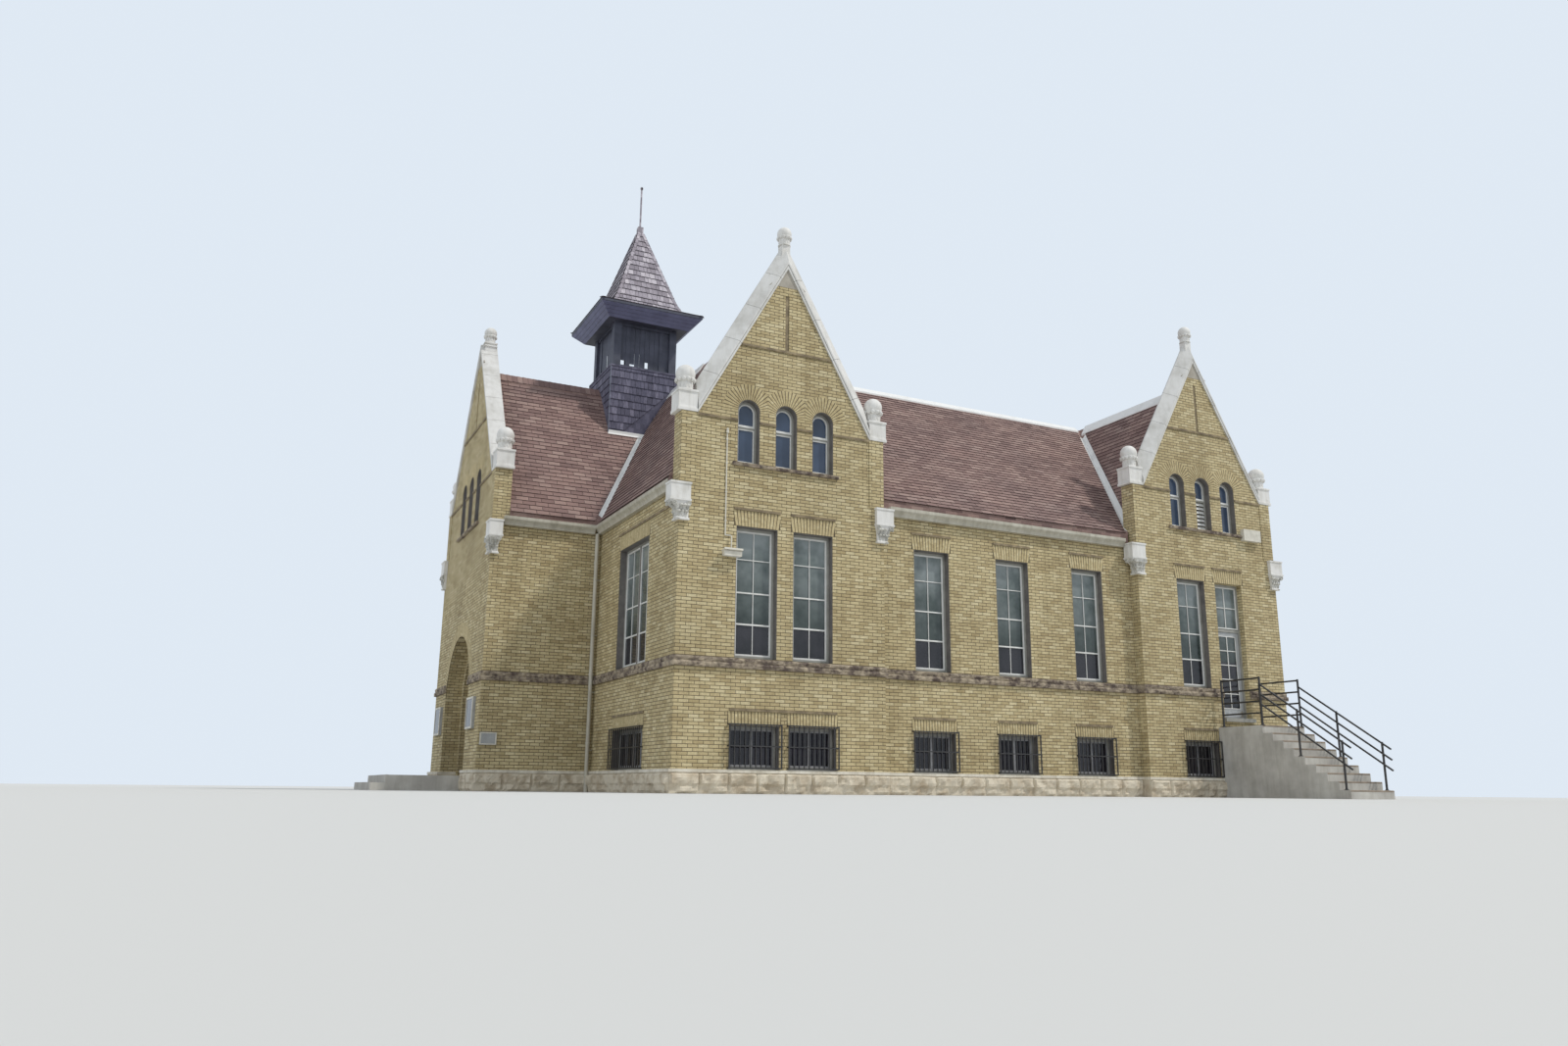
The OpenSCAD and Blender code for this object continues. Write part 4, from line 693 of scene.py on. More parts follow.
def rough_stone(length, height, out, cols, rows):
    wide, high = length - SIDE_JOINT, height - BED_JOINT
    stone = upright(bpy.ops.mesh.primitive_grid_add, wide, high, x_subdivisions=cols, y_subdivisions=rows)
    edge_x, edge_z = wide / 2 - KEPT_EDGE, high / 2 - KEPT_EDGE
    inner = {v.index for v in stone.data.vertices if abs(v.co.x) < edge_x and abs(v.co.z) < edge_z}
    stone.vertex_groups.new(name="rough").add(sorted(inner), 1.0, "REPLACE")
    for lowest, pull in ((-edge_z, out), (-0.05 * height, 2.5 * out)):
        pick(stone, "vertices", lambda vert: vert.index in inner and vert.co.z > lowest)
        with editing(stone, False):
            bpy.ops.transform.translate(value=(0, -pull, 0))
    return stone


def stone_run(wall, start, end, z0, z1, plane, length, out=0.003, cols=16, rows=4):
    count = max(1, round((end - start) / length))
    size = (end - start) / count
    return hung(rough_stone(size, z1 - z0, out, cols, rows), [
        WALLS[wall] @ at(start + size * (i + 0.5), plane, (z0 + z1) / 2) for i in range(count)])


def knocked(parts, lump, strength):
    clouds.noise_scale = lump
    return applied(joined(parts), "DISPLACE", texture=clouds, texture_coords="GLOBAL", strength=strength,
                   mid_level=0.45, vertex_group="rough")


RUNS = [("wing_a_front", -0.05, 4.75), ("main_front", 0.05, 7.10), ("left_front", -0.05, 2.50),
        ("wing_a_side", 0.05, 5.15), ("wing_a_rear", -0.05, 4.75), ("left_rear", 0.05, 2.60),
        ("main_rear", 0.05, 7.10), ("wing_c_rear", -0.05, 4.75), ("wing_c_side", -0.05, 8.95),
        ("wing_a_rear_side", 0.05, 2.35)]
UNDER_DOOR = [("wing_c_front", -0.05, 4.75)]
BESIDE_DOOR = [("wing_c_front", -0.05, DOOR_X - WIN_W / 2), ("wing_c_front", DOOR_X + WIN_W / 2, 4.75)]
BESIDE_PORTAL = [("left_gable", -0.05, 1.395), ("left_gable", 4.205, 5.65)]
FOOT_COURSE = (0.004, 0.386, -0.0515)
LOWER_COURSE, UPPER_COURSE = (2.382, 2.482, -0.0515), (2.480, 2.580, -0.0265)
SILL_HALF, SILL_H, SILL_FACE = 1.225, 0.07, -0.0615

base = [stone_run(*run, *FOOT_COURSE, 0.62, 0.014, 14, 8) for run in RUNS + UNDER_DOOR + BESIDE_PORTAL]
piece("rock_faced_base", knocked(base, 0.2, 0.15), ROCK_STONE)

band = []
for runs, inset, length in ((RUNS + BESIDE_DOOR, 0.02, 0.75), (BESIDE_PORTAL, 0.0, 0.72)):
    for wall, start, end in runs:
        band += [stone_run(wall, start, end, *LOWER_COURSE, length),
                 stone_run(wall, start + inset, end - inset, *UPPER_COURSE, length)]
for wall, (width, kneel) in GABLES.items():
    mid, top = width / 2, kneel - ARCH_DROP
    band.append(stone_run(wall, mid - SILL_HALF, mid + SILL_HALF, top - SILL_H, top, SILL_FACE, 0.82))
piece("rough_stone_band", knocked(band, 0.11, 0.085), DARK_STONE)

# %% [markdown]
# Windows. A sash is one ring of wood, so it is made the way a joiner thinks of it: a
# flat sheet of the window's outline, inset by the width of the wood, the middle taken
# out, and the rest pulled back to its depth. A round head is the same sheet with its
# two top corners rounded off until they meet.

# %% Sash tools
FRAME_W, GLASS_Y, SASH_Y, MULLION, SIDE_LIGHT = 0.06, 0.1804, 0.156, 0.07, 0.855
PAIR_SHIFT = (SIDE_LIGHT + MULLION) / 2


def sheet_outline(width, height, bottom=0.0, arched=False):
    middle = bottom + height / 2
    outline = upright(bpy.ops.mesh.primitive_plane_add, width, height, middle)
    if arched:
        pick(outline, "vertices", lambda vert: vert.co.z > middle)
        with editing(outline, False):
            bpy.ops.mesh.bevel(offset=width / 2 - 0.0004, affect="VERTICES", segments=12, profile=0.5)
    return outline


def ring_frame(width, height, border, y, depth, bottom=0.0, arched=False, edge=0.003):
    frame_ring = sheet_outline(width, height, bottom, arched)
    with editing(frame_ring):
        bpy.ops.mesh.inset(thickness=border, use_even_offset=True)
        bpy.ops.mesh.delete(type="FACE")
        bpy.ops.mesh.select_all(action="SELECT")
        bpy.ops.mesh.extrude_region_move(TRANSFORM_OT_translate={"value": (0, depth, 0)})
        bpy.ops.mesh.select_all(action="SELECT")
        bpy.ops.mesh.normals_make_consistent(inside=False)
        bpy.ops.transform.translate(value=(0, y, 0))
    return bevelled(frame_ring, edge)


def sash(width, height, border, bottom=FRAME_W, arched=False):
    return ring_frame(width, height, border, SASH_Y, GLASS_Y - SASH_Y, bottom, arched)


def bar(x0, x1, z0, z1, y0=0.162, y1=GLASS_Y):
    return block((x0, y0, z0), (x1, y1, z1), 0.003)


print("sash tools ready")

# %% [markdown]
# The tall windows have two panes side by side and four high. The bar over the lowest
# panes and the one in the middle are sash rails, so they are bolder than the glazing
# bars. Each cellar window is a dark grey slider: a ring with one meeting rail. The
# left pavilion's side has a pair of each.

# %% Tall and cellar sashes
def glazing(width):
    tongue = 0.032
    parts = [sash(width, WIN_H - 2 * FRAME_W, 0.036),
             bar(-0.008, 0.008, FRAME_W + tongue, WIN_H - FRAME_W - tongue)]
    for z, half, front in ((0.69, 0.017, 0.158), (1.325, 0.015, 0.163), (2.0, 0.009, 0.163)):
        parts.append(bar(-width / 2 + tongue, width / 2 - tongue, z - half, z + half, front))
    return joined(parts)


def slider(width):
    return joined([sash(width, LOW_H - 2 * FRAME_W, 0.036),
                   bar(-0.026, 0.026, FRAME_W + 0.03, LOW_H - FRAME_W - 0.03, 0.150)])


for name, make, width, z, paint in (("tall_sashes", glazing, WIN_W, SILL_Z, WHITE_PAINT),
                                    ("cellar_sashes", slider, LOW_W, BASE_H, CELLAR_PAINT)):
    sashes = [hung(make(width - 2 * FRAME_W), window_spots(z)),
              hung(make(SIDE_LIGHT), side_spots(z, -PAIR_SHIFT, PAIR_SHIFT))]
    piece(name, joined(sashes), paint)

# %% [markdown]
# The attic windows have a fixed lower light and a half-round light over a thick
# crossbar. In the right pavilion the middle one is louvred, so it only gets the upper
# light. Grey boards line every brick opening as far as the wall's face.

# %% Attic sashes and linings
BAR_Z, BAR_H, ATTIC_WOOD, LOUVRED = 0.78, 0.06, 0.026, 4
narrow = ARCH_W - 2 * FRAME_W
upper_spots = attic_spots(0, -ARCH_GAP, 0, ARCH_GAP)
lower_spots = upper_spots[:LOUVRED] + upper_spots[LOUVRED + 1:]
upper = joined([sash(narrow, ARCH_H - BAR_Z - BAR_H - FRAME_W, ATTIC_WOOD, BAR_Z + BAR_H, True),
                bar(-narrow / 2, narrow / 2, BAR_Z + 0.034, BAR_Z + BAR_H + 0.006, 0.138, 0.156)])
lower = hung(sash(narrow, BAR_Z - FRAME_W, ATTIC_WOOD), lower_spots)
piece("attic_sashes", joined([lower, hung(upper, upper_spots)]), WHITE_PAINT)


def lining(width, height, arched=False):
    boards = ring_frame(width - 0.001, height - 0.0005, 0.012, 0.006, 0.1435, 0.0, arched, 0.0)
    return cut_off(boards, ((0, 0, 0.014), (0, 0, -1)))


linings = [hung(lining(ARCH_W, ARCH_H, True), upper_spots)]
for width, height, z in ((WIN_W, WIN_H, SILL_Z), (LOW_W, LOW_H, BASE_H)):
    mullion = block((-MULLION / 2, 0.146, FRAME_W), (MULLION / 2, GLASS_Y, height - FRAME_W), 0.004)
    linings += [hung(lining(width, height), window_spots(z)),
                hung(lining(SIDE_W, height), side_spots(z, 0)), hung(mullion, side_spots(z, 0))]
piece("window_linings", joined(linings), REVEAL_PAINT)

# %% [markdown]
# The side door's window has two panes side by side and five high, over a solid
# bottom. The glass, the bars, the pull handle, the lock and the kick plate swing with
# the leaf; the light over the door stays in the wall.

# %% Side door and the light over it
DOOR_LEFT, DOOR_RIGHT, BAR_BACK = 2.596, 3.384, 0.1902
door_wall = WALLS["wing_c_front"]
pane_l, pane_r, pane_low, pane_high = DOOR_LEFT + 0.11, DOOR_RIGHT - 0.11, 2.146, 3.924
pane_w, pane_h, pane_mid = pane_r - pane_l, pane_high - pane_low, (pane_l + pane_r) / 2
pane = laid(sheet_outline(pane_w, pane_h, pane_low), door_wall @ at(pane_mid, 0.1905))
piece("side_door_glass", applied(pane, "SOLIDIFY", thickness=0.002, offset=-1), GLASS, "side_door")

bars = [bar(pane_mid - 0.012, pane_mid + 0.012, pane_low - 0.004, pane_high + 0.004, 0.172, BAR_BACK),
        laid(ring_frame(pane_w + 0.03, pane_h + 0.03, 0.02, 0.170, 0.012, pane_low - 0.015), at(pane_mid))]
for i in range(1, 5):
    z = pane_low + pane_h * i / 5
    bars.append(bar(pane_l - 0.004, pane_r + 0.004, z - 0.011, z + 0.011, 0.173, BAR_BACK))
piece("side_door_bars", laid(joined(bars), door_wall), WHITE_PAINT, "side_door")

pull_x, pull_y = DOOR_LEFT + 0.055, 0.125
hardware = [rod((pull_x, pull_y, 2.86), (pull_x, pull_y, 3.10), 0.011),
            rod((pull_x, 0.166, 3.16), (pull_x, 0.176, 3.16), 0.019, 20),
            block((DOOR_LEFT + 0.03, 0.1715, 1.93), (DOOR_RIGHT - 0.03, 0.1755, 2.09), 0.0015)]
for z in (2.885, 3.075):
    hardware += [rod((pull_x, pull_y, z), (pull_x, 0.176, z), 0.008),
                 rod((pull_x, 0.169, z), (pull_x, 0.1755, z), 0.017, 20)]
hardware = bevelled(laid(joined(hardware), door_wall), 0.0015)
piece("side_door_hardware", hardware, STEEL, "side_door")

light_low, light_top = DOOR_TOP + 0.06, TALL_TOP
light_mid = (light_low + light_top) / 2
over = joined([sash(WIN_W - 2 * FRAME_W, light_top - light_low - 0.08, 0.03, light_low + 0.02),
               bar(-0.011, 0.011, light_low + 0.04, light_top - 0.08),
               bar(-0.37, 0.37, light_mid - 0.03, light_mid - 0.008)])
piece("door_light_sash", laid(over, door_wall @ at(DOOR_X)), WHITE_PAINT)

# %% [markdown]
# The roofs carry strip shingles: tabs 30 cm wide that show 14 cm, each course shifted by
# half a tab. One tab is a thin wedge, thick at its lower edge, so every course throws a
# shadow on the next. Two courses are made on the bench, an array repeats them along and
# up the slope, each corner is shaken by a few millimetres, and every tab keeps a random
# number of its own for its colour; its butt and side edges get 0, which is painted shade.
# The sheet is then set on its slope and cut off at the valleys, as a roofer does.

# %% Shingle sheets
TAB_TIP = 0.004


def arrayed(obj, count, offset):
    return applied(obj, "ARRAY", count=count, use_relative_offset=False, use_constant_offset=True,
                   constant_offset_displace=offset)


def tone_tabs_and_paint_butt_shade(obj, seed, faces_in_tab=6):
    dice = random.Random(seed)
    tone = obj.data.attributes.new("tone", "FLOAT", "FACE")
    values, own = [], 0.0
    for i, face in enumerate(obj.data.polygons):
        if i % faces_in_tab == 0:
            own = dice.uniform(0.05, 1.0)
        # Butt faces, which look down the slope, and side edges get 0: painted shade, near black in the
        # tables.
        values.append(0.0 if face.normal.y < -0.5 or abs(face.normal.x) > 0.5 else own)
    tone.data.foreach_set("value", values)


def sheet(widths, course, across, up, butt, seed, gap=0.006, shift=0.5, shake=0.003):
    length, row, start = course * 1.16, [], 0.0
    for width in widths:
        tab = block((gap / 2, 0, 0), (width - gap / 2, length, butt))
        row.append(laid(tab, at(start - sum(widths)), ((0, 0, butt), (0, butt - TAB_TIP, length))))
        start += width
    first = joined(row)
    pair = joined([first, placed(first, at(start * shift, course))])
    arrayed(pair, math.ceil(across / start) + 2, (start, 0, 0))
    arrayed(pair, math.ceil(up / course / 2), (0, 2 * course, 0))
    tone_tabs_and_paint_butt_shade(pair, seed)
    with editing(pair):
        bpy.ops.transform.vertex_random(offset=shake, seed=seed)
    return cut_off(pair, ((0, 0, 0), (-1, 0, 0)), ((across, 0, 0), (1, 0, 0)), ((0, up, 0), (0, 1, 0)))


def on_slope(origin, along, up):
    along, up = Vector(along).normalized(), Vector(up).normalized()
    return Matrix.Translation(origin) @ Matrix((along, up, along.cross(up))).transposed().to_4x4()


def valley(crossing, corner, strip=0.083):
    crossing, corner = Vector((*crossing, 0)), Vector((*corner, 0))
    line = (corner - crossing).normalized()
    across = Vector((-line.y, line.x, 0))
    if across.x * (corner.x - crossing.x) < 0:
        across = -across
    return (crossing - across * strip, across), (crossing + across * strip, -across)


def clear_tower(obj):
    room = TOWER_W / 2 - 0.17
    pick(obj, "polygons", lambda face: (
        abs(face.center.x - TOWER_X) < room and abs(face.center.y - TOWER_Y) < room))
    with editing(obj, False):
        bpy.ops.mesh.delete(type="FACE")


print("shingle tools ready")

# %% [markdown]
# Every slope is one row of a table: the lower corner where the roofer starts, the way
# that the eave runs, its length, the valleys that cut the sheet off, and a seed.

# %% Roof tabs
EAVE, CAP_EDGE, END = 0.075, 0.12, WALL_T + 0.003
A_MID, C_MID, RIDGE_Y, LEFT_RIDGE = 2.35, 14.2, 4.45, 7.9
a_front, a_rear = (valley((A_MID, RIDGE_Y), (MAIN_X, y)) for y in (MAIN_Y, MAIN_BACK))
c_front, c_rear = (valley((C_MID, RIDGE_Y), (RIGHT_X, y)) for y in (MAIN_Y, MAIN_BACK))
l_front, l_rear = (valley((A_MID, LEFT_RIDGE), (0, y)) for y in (LEFT_Y, LEFT_BACK))
for name, slope, half, at_tower, slopes in (
        ("roof_tabs_left_pavilion", SLOPE_WING, 2.35, True, (
            (-EAVE, LEFT_RIDGE, (0, -1), LEFT_RIDGE - END, [l_front[0]], 1),
            (-EAVE, A_BACK - END, (0, -1), 3.05 - END, [l_rear[0]], 2),
            (MAIN_X + EAVE, END, (0, 1), RIDGE_Y - END, [a_front[0]], 3),
            (MAIN_X + EAVE, RIDGE_Y, (0, 1), 6.5 - END, [a_rear[0]], 4))),
        ("roof_tabs_right_pavilion", SLOPE_WING, 2.35, False, (
            (RIGHT_X - EAVE, RIDGE_Y, (0, -1), RIDGE_Y - END, [c_front[0]], 5),
            (RIGHT_X - EAVE, C_BACK - END, (0, -1), RIDGE_Y - END, [c_rear[0]], 6),
            (FAR_X + EAVE, END, (0, 1), C_BACK - 2 * END, [], 7))),
        ("roof_tabs_main", SLOPE_MAIN, 4.2, False, (
            (A_MID, MAIN_Y - EAVE, (1, 0), C_MID - A_MID, [a_front[1], c_front[1]], 8),
            (C_MID, MAIN_BACK + EAVE, (-1, 0), C_MID - A_MID, [a_rear[1], c_rear[1]], 9))),
        ("roof_tabs_left_wing", SLOPE_LEFT, 2.8, True, (
            (LEFT_X + END, LEFT_Y - EAVE, (1, 0), 4.9 - END, [l_front[1]], 10),
            (A_MID, LEFT_BACK + EAVE, (-1, 0), 4.9 - END, [l_rear[1]], 11)))):
    low, sheets = PLATE_Z + 0.25 - EAVE * slope, []
    for x, y, along, span, cuts, seed in slopes:
        up = Vector((-along[1], along[0], slope))
        tabs = sheet([0.30], 0.14, span, (half + EAVE - CAP_EDGE) * up.length, 0.021, seed, 0.010)
        sheets.append(laid(tabs, on_slope((x, y, low), (*along, 0), up), *cuts))
    roof_tabs = joined(sheets)
    if at_tower:
        clear_tower(roof_tabs)
    piece(name, roof_tabs, ROOF_TABS)

# %% [markdown]
# Over the left wing's ridge the shingles are bent across it, one lapped on the next.
# They are the same tabs, laid along the ridge on both sides of its cap.

# %% Ridge shingles
half_t = TOWER_W / 2
west_x, south_y = TOWER_X - half_t, TOWER_Y - half_t
near_side = laid(sheet([0.27], 0.14, 0.27, west_x - LEFT_X - END, 0.014, 20, shift=0.0),
                 on_slope((LEFT_X + END, LEFT_RIDGE, RIDGE_Z + 0.0605), (0, -1, -SLOPE_LEFT), (1, 0, 0)))
ridge_tabs = joined([near_side, placed(near_side, mirror_y(LEFT_RIDGE))])
piece("ridge_tabs", ridge_tabs, ROOF_TABS)

# %% [markdown]
# The belfry's base is covered with wood shingles of uneven width. Each side gets its own
# sheet, which is cut off along the roofs that it rises from.

# %% Belfry shingles
WOOD = [0.105, 0.145, 0.12, 0.155, 0.095]
BASE_LOW, BASE_TOP, OVER = 9.0, 10.94, 0.012
left_at = RIDGE_Z - half_t * SLOPE_LEFT
east_at = RIDGE_Z - (TOWER_X + half_t - A_MID) * SLOPE_WING


def about_tower(degrees):
    return at(TOWER_X, TOWER_Y) @ spin(degrees) @ at(-TOWER_X, -TOWER_Y)


def four_sides(obj):
    return [placed(obj, about_tower(90 * k)) for k in (1, 2, 3)] + [obj]


def tower_sheet(seed, degrees, *planes):
    made = sheet(WOOD, 0.205, TOWER_W + 2 * OVER, BASE_TOP - BASE_LOW, 0.0235, seed, 0.007)
    south_face = on_slope((west_x - OVER, south_y, BASE_LOW), (1, 0, 0), (0, 0, 1))
    return laid(made, about_tower(degrees) @ south_face, *planes)


over_left, ridge = ((0, 0, left_at + OVER), (0, 0, -1)), (A_MID, 0, RIDGE_Z + 0.01)
south = joined([tower_sheet(31, 0, ((A_MID, 0, 0), (1, 0, 0)), over_left, (ridge, (SLOPE_WING, 0, -1))),
                tower_sheet(31, 0, ((A_MID, 0, 0), (-1, 0, 0)), (ridge, (-SLOPE_WING, 0, -1)))])
base_sides = [south, placed(south, mirror_y(TOWER_Y)),
              tower_sheet(35, 90, ((0, 0, east_at + OVER), (0, 0, -1)))]
for side in (-1, 1):
    base_sides.append(tower_sheet(33, -90, ((0, TOWER_Y, 0), (0, -side, 0)),
                                  ((0, TOWER_Y, RIDGE_Z + OVER), (0, -side * SLOPE_LEFT, -1))))
piece("belfry_base_shingles", joined(base_sides), TOWER_SHINGLES)

# %% [markdown]
# The four sides of the spire get sheets too, three on top of each other, because the
# slope bends outwards twice towards the eave. Planes through the corners cut them to
# the pyramid's shape, and narrow laps cover the corners.

# %% Spire shingles
SPIRE_STEPS = [(12.592, 1.42, 12.741, 1.0, 0.150), (12.743, 1.0, 13.071, 0.84, 0.170),
               (13.073, 0.84, 15.36, 0.082, 0.190)]
sides, hips = [], []
for i, (z0, h0, z1, h1, course) in enumerate(SPIRE_STEPS):
    up = Vector((0, h0 - h1, z1 - z0))
    part = sheet(WOOD, course, 2 * h0 + 0.03, up.length + 0.01, 0.028, 41 + i, 0.007)
    sides.append(laid(part, on_slope((TOWER_X - h0 - 0.015, TOWER_Y - h0, z0), (1, 0, 0), up),
                      *[((TOWER_X, TOWER_Y - 0.012, 0), (way, 1, 0)) for way in (1, -1)]))
    out = Vector((1, 0, 0)).cross(up).normalized()
    edge = Vector((h0 - h1, h0 - h1, z1 - z0))
    lap = sheet([0.075], course, 0.075, edge.length, 0.012, 47, 0.0, shift=0.0, shake=0.002)
    corner = Vector((TOWER_X - h0, TOWER_Y - h0, z0)) + out * 0.019
    hips.append(laid(lap, on_slope(corner, edge.normalized().cross(out), edge),
                     ((TOWER_X, TOWER_Y - 0.002, 0), (-1, 1, 0))))
hip = joined(hips)
hip = joined([placed(hip, mirror_x(TOWER_X)), hip])
piece("spire_shingles", joined(four_sides(joined(sides)) + four_sides(hip)), SPIRE_SHINGLES)

# %% [markdown]
# The gables are finished with weathered coping stones. On the pavilions each stone is
# roof-shaped, with a narrow front edge and a groove under it; on the left wing it is
# flat. A stone is a slab whose top is planed off by bisecting. The stones are laid up
# the slope with open joints, then the run is cut off plumb at the corner post and at
# the middle, and mirrored for the other side.

# %% Coping stones
POST_W, WALL_MID, COPING_HALF, BELOW = 0.35, 0.19, 0.235, 0.046


def coping_stone(x0, x1, flat):
    back = 0.18 if flat else COPING_HALF
    planes = [((0, -COPING_HALF, 0.098), (0, -0.06, 1))] if flat else [
        ((0, side * COPING_HALF, 0.085), (0, side * 0.265, 0.215)) for side in (-1, 1)]
    top = cut_off(block((x0, -COPING_HALF, BELOW + 0.006), (x1, back, 0.35)), *planes)
    return joined([block((x0, -0.224, 0.002), (x1, back - 0.01, BELOW), 0.003), bevelled(top, 0.006, 2)])


runs = []
for wall, (width, kneel) in GABLES.items():
    run, rise = width / 2 - POST_W, APEX_Z - kneel
    length = math.hypot(run, rise) + 0.65
    count = round(length / 0.92)
    pitch = length / count
    stones = [coping_stone(pitch * i + 0.003, pitch * (i + 1) - 0.003, wall == "left_gable")
              for i in range(count)]
    tilt = spin(-math.degrees(math.atan2(rise, run)), "Y")
    half_run = laid(joined(stones), at(POST_W, WALL_MID, kneel) @ tilt,
                    ((POST_W + 0.002, 0, 0), (-1, 0, 0)), ((width / 2, 0, 0), (1, 0, 0)))
    runs.append(laid(joined([half_run, placed(half_run, mirror_x(width / 2))]), WALLS[wall]))
coping_stones = piece("coping_stones", joined(runs), COPING_STONE)
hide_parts("copings")

# %% [markdown]
# Every gable corner and tip carries a stone ball in a cup with a collar of petals. The
# cup is turned as on a lathe: a filled circle is extruded upwards again and again and
# scaled each time. One petal is a small ball, flattened and leaned outwards, and
# twelve of them make the collar. The corner posts get a pedestal with a sunk panel.

# %% Pinnacles
def turned(steps, sides=32):
    obj = added(bpy.ops.mesh.primitive_circle_add, vertices=sides, radius=steps[0][0], fill_type="NGON",
                location=(0, 0, steps[0][1]))
    with editing(obj):
        for (r0, z0), (r1, z1) in zip(steps, steps[1:]):
            bpy.ops.mesh.extrude_region_move(TRANSFORM_OT_translate={"value": (0, 0, z1 - z0)})
            bpy.ops.transform.resize(value=(r1 / r0, r1 / r0, 1), center_override=(0, 0, 0))
        bpy.ops.mesh.select_all(action="SELECT")
        bpy.ops.mesh.normals_make_consistent(inside=False)
    return obj


def ball(radius, sides=28, rings=16, stretch=(1, 1, 1)):
    return added(bpy.ops.mesh.primitive_uv_sphere_add, segments=sides, ring_count=rings, radius=radius,
                 scale=stretch)


def smoothed(obj, degrees):
    only(obj)
    bpy.ops.object.shade_smooth_by_angle(angle=math.radians(degrees))
    return obj


def collar(leaf, matrix, start=0.0):
    return hung(leaf, [spin(start + 30 * k) @ matrix for k in range(12)])


def urn():
    cup = turned([(0.178, 0.0), (0.178, 0.022), (0.158, 0.034), (0.154, 0.10), (0.158, 0.165),
                  (0.172, 0.205), (0.196, 0.232), (0.204, 0.246), (0.206, 0.272), (0.184, 0.284)])
    stone_ball = laid(ball(0.204), at(0, 0, 0.368))
    petals = collar(ball(1.0, 10, 8, (0.024, 0.046, 0.045)), at(0.196, 0, 0.222) @ spin(24, "Y"))
    leaves = collar(ball(1.0, 8, 6, (0.010, 0.032, 0.075)), at(0.156, 0, 0.115), 15)
    return smoothed(joined([cup, stone_ball, petals, leaves]), 50)


def post(half, z0, z1, bevel=0.0, segments=1):
    return block((-half, -half, z0), (half, half, z1), bevel, segments)


def pedestal(half, height):
    body = post(half, 0.07, height - 0.05)
    pick(body, "polygons", lambda face: abs(face.normal.z) < 0.5)
    with editing(body, False):
        bpy.ops.mesh.inset(thickness=0.045, depth=-0.007, use_individual=True)
    rims = [post(half + 0.015, z0, z1, 0.008, 2) for z0, z1 in ((0, 0.07), (height - 0.05, height))]
    return joined([body] + rims)


def small_urn(z):
    return laid(urn(), at(0, 0, z) @ Matrix.Scale(0.78, 4))


corner = joined([pedestal(0.205, 0.46), laid(urn(), at(0, 0, 0.46))])
tip = joined([post(0.10, 0.0, 0.63, 0.006), small_urn(0.63)])
low_tip = joined([post(0.14, -0.05, 0.22, 0.006), post(0.165, 0.12, 0.16, 0.006),
                  post(0.165, 0.20, 0.24, 0.006), small_urn(0.24)])
corner_spots = [WALLS[wall] @ at(x, WALL_MID, kneel)
                for wall, (width, kneel) in GABLES.items() for x in (0.129, width - 0.129)]
*tip_spots, left_tip = [WALLS[wall] @ at(width / 2, WALL_MID, APEX_Z)
                        for wall, (width, kneel) in GABLES.items()]
balls = joined([hung(corner, corner_spots), hung(tip, tip_spots), laid(low_tip, left_tip)])
ball_stones = piece("ball_pinnacles", balls, WHITE_STONE)
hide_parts("pinnacles")

# %% [markdown]
# Under each coping's tip the bricks end at a smooth triangular stone. The narrow slot
# below it is shallow, and its back is dark brown brick set close behind the face: the
# dark colour is painted shade of the recess. The stone is a plate cut off along both
# slopes of the gable.

# %% Tip stones and slots
SLOT_HALF, SLOT_DEPTH, SLOT_LOW, SLOT_FOOT, SLOT_HIGH = 0.0445, 0.0595, 1.5605, 1.68, 2.9495
tips, backs, feet = [], [], []
for wall, (width, kneel) in GABLES.items():
    mid, slope = width / 2, (APEX_Z - kneel) / (width / 2 - POST_W)
    plate = block((mid - 0.5, -0.006, APEX_Z - 0.43), (mid + 0.5, 0.02, APEX_Z))
    cut_off(plate, *[((mid, 0, APEX_Z - 0.005), (side * slope, 0, 1)) for side in (-1, 1)])
    slot_l, slot_r = mid - SLOT_HALF, mid + SLOT_HALF
    back = block((slot_l, 0.018, kneel + SLOT_FOOT), (slot_r, SLOT_DEPTH, kneel + SLOT_HIGH))
    foot = block((slot_l, 0.0005, kneel + SLOT_LOW), (slot_r, SLOT_DEPTH, kneel + SLOT_FOOT))
    for made, kept in ((plate, tips), (back, backs), (foot, feet)):
        kept.append(laid(made, WALLS[wall]))
piece("gable_tip_stones", joined(tips), TIP_STONE)
# The slot backs are dark brown label brick set close behind the face: painted shade of the recess.
piece("gable_slot_backs_painted_shade", joined(backs), LABEL_BRICK)
piece("gable_slot_feet", joined(feet), BRICK)

# %% [markdown]
# The belfry's open stage is mostly closed with dark upright boards behind its posts.
# Some boards end short, so the sky shows through in a few places. The sloped underside
# of the eave is boarded too.

# %% Belfry boards
BOARD_LOW, BOARD_TOP = 11.06, 12.155


def stage_side(degrees, feet, tops=(BOARD_TOP,) * 6, bays=(BOARD_LOW, BOARD_LOW)):
    boards, pitch = [], 0.82 / len(tops)
    for i, (top, foot) in enumerate(zip(tops, feet)):
        x = TOWER_X - 0.41 + pitch * i
        boards.append(block((x + 0.003, TOWER_Y - 0.80, foot),
                            (x + pitch - 0.003, TOWER_Y - 0.785, top), 0.002))
    for x, foot in zip((TOWER_X - 0.68, TOWER_X + 0.53), bays):
        boards.append(block((x, TOWER_Y - 0.81, foot), (x + 0.15, TOWER_Y - 0.795, BOARD_TOP), 0.002))
    return laid(joined(boards), about_tower(degrees))


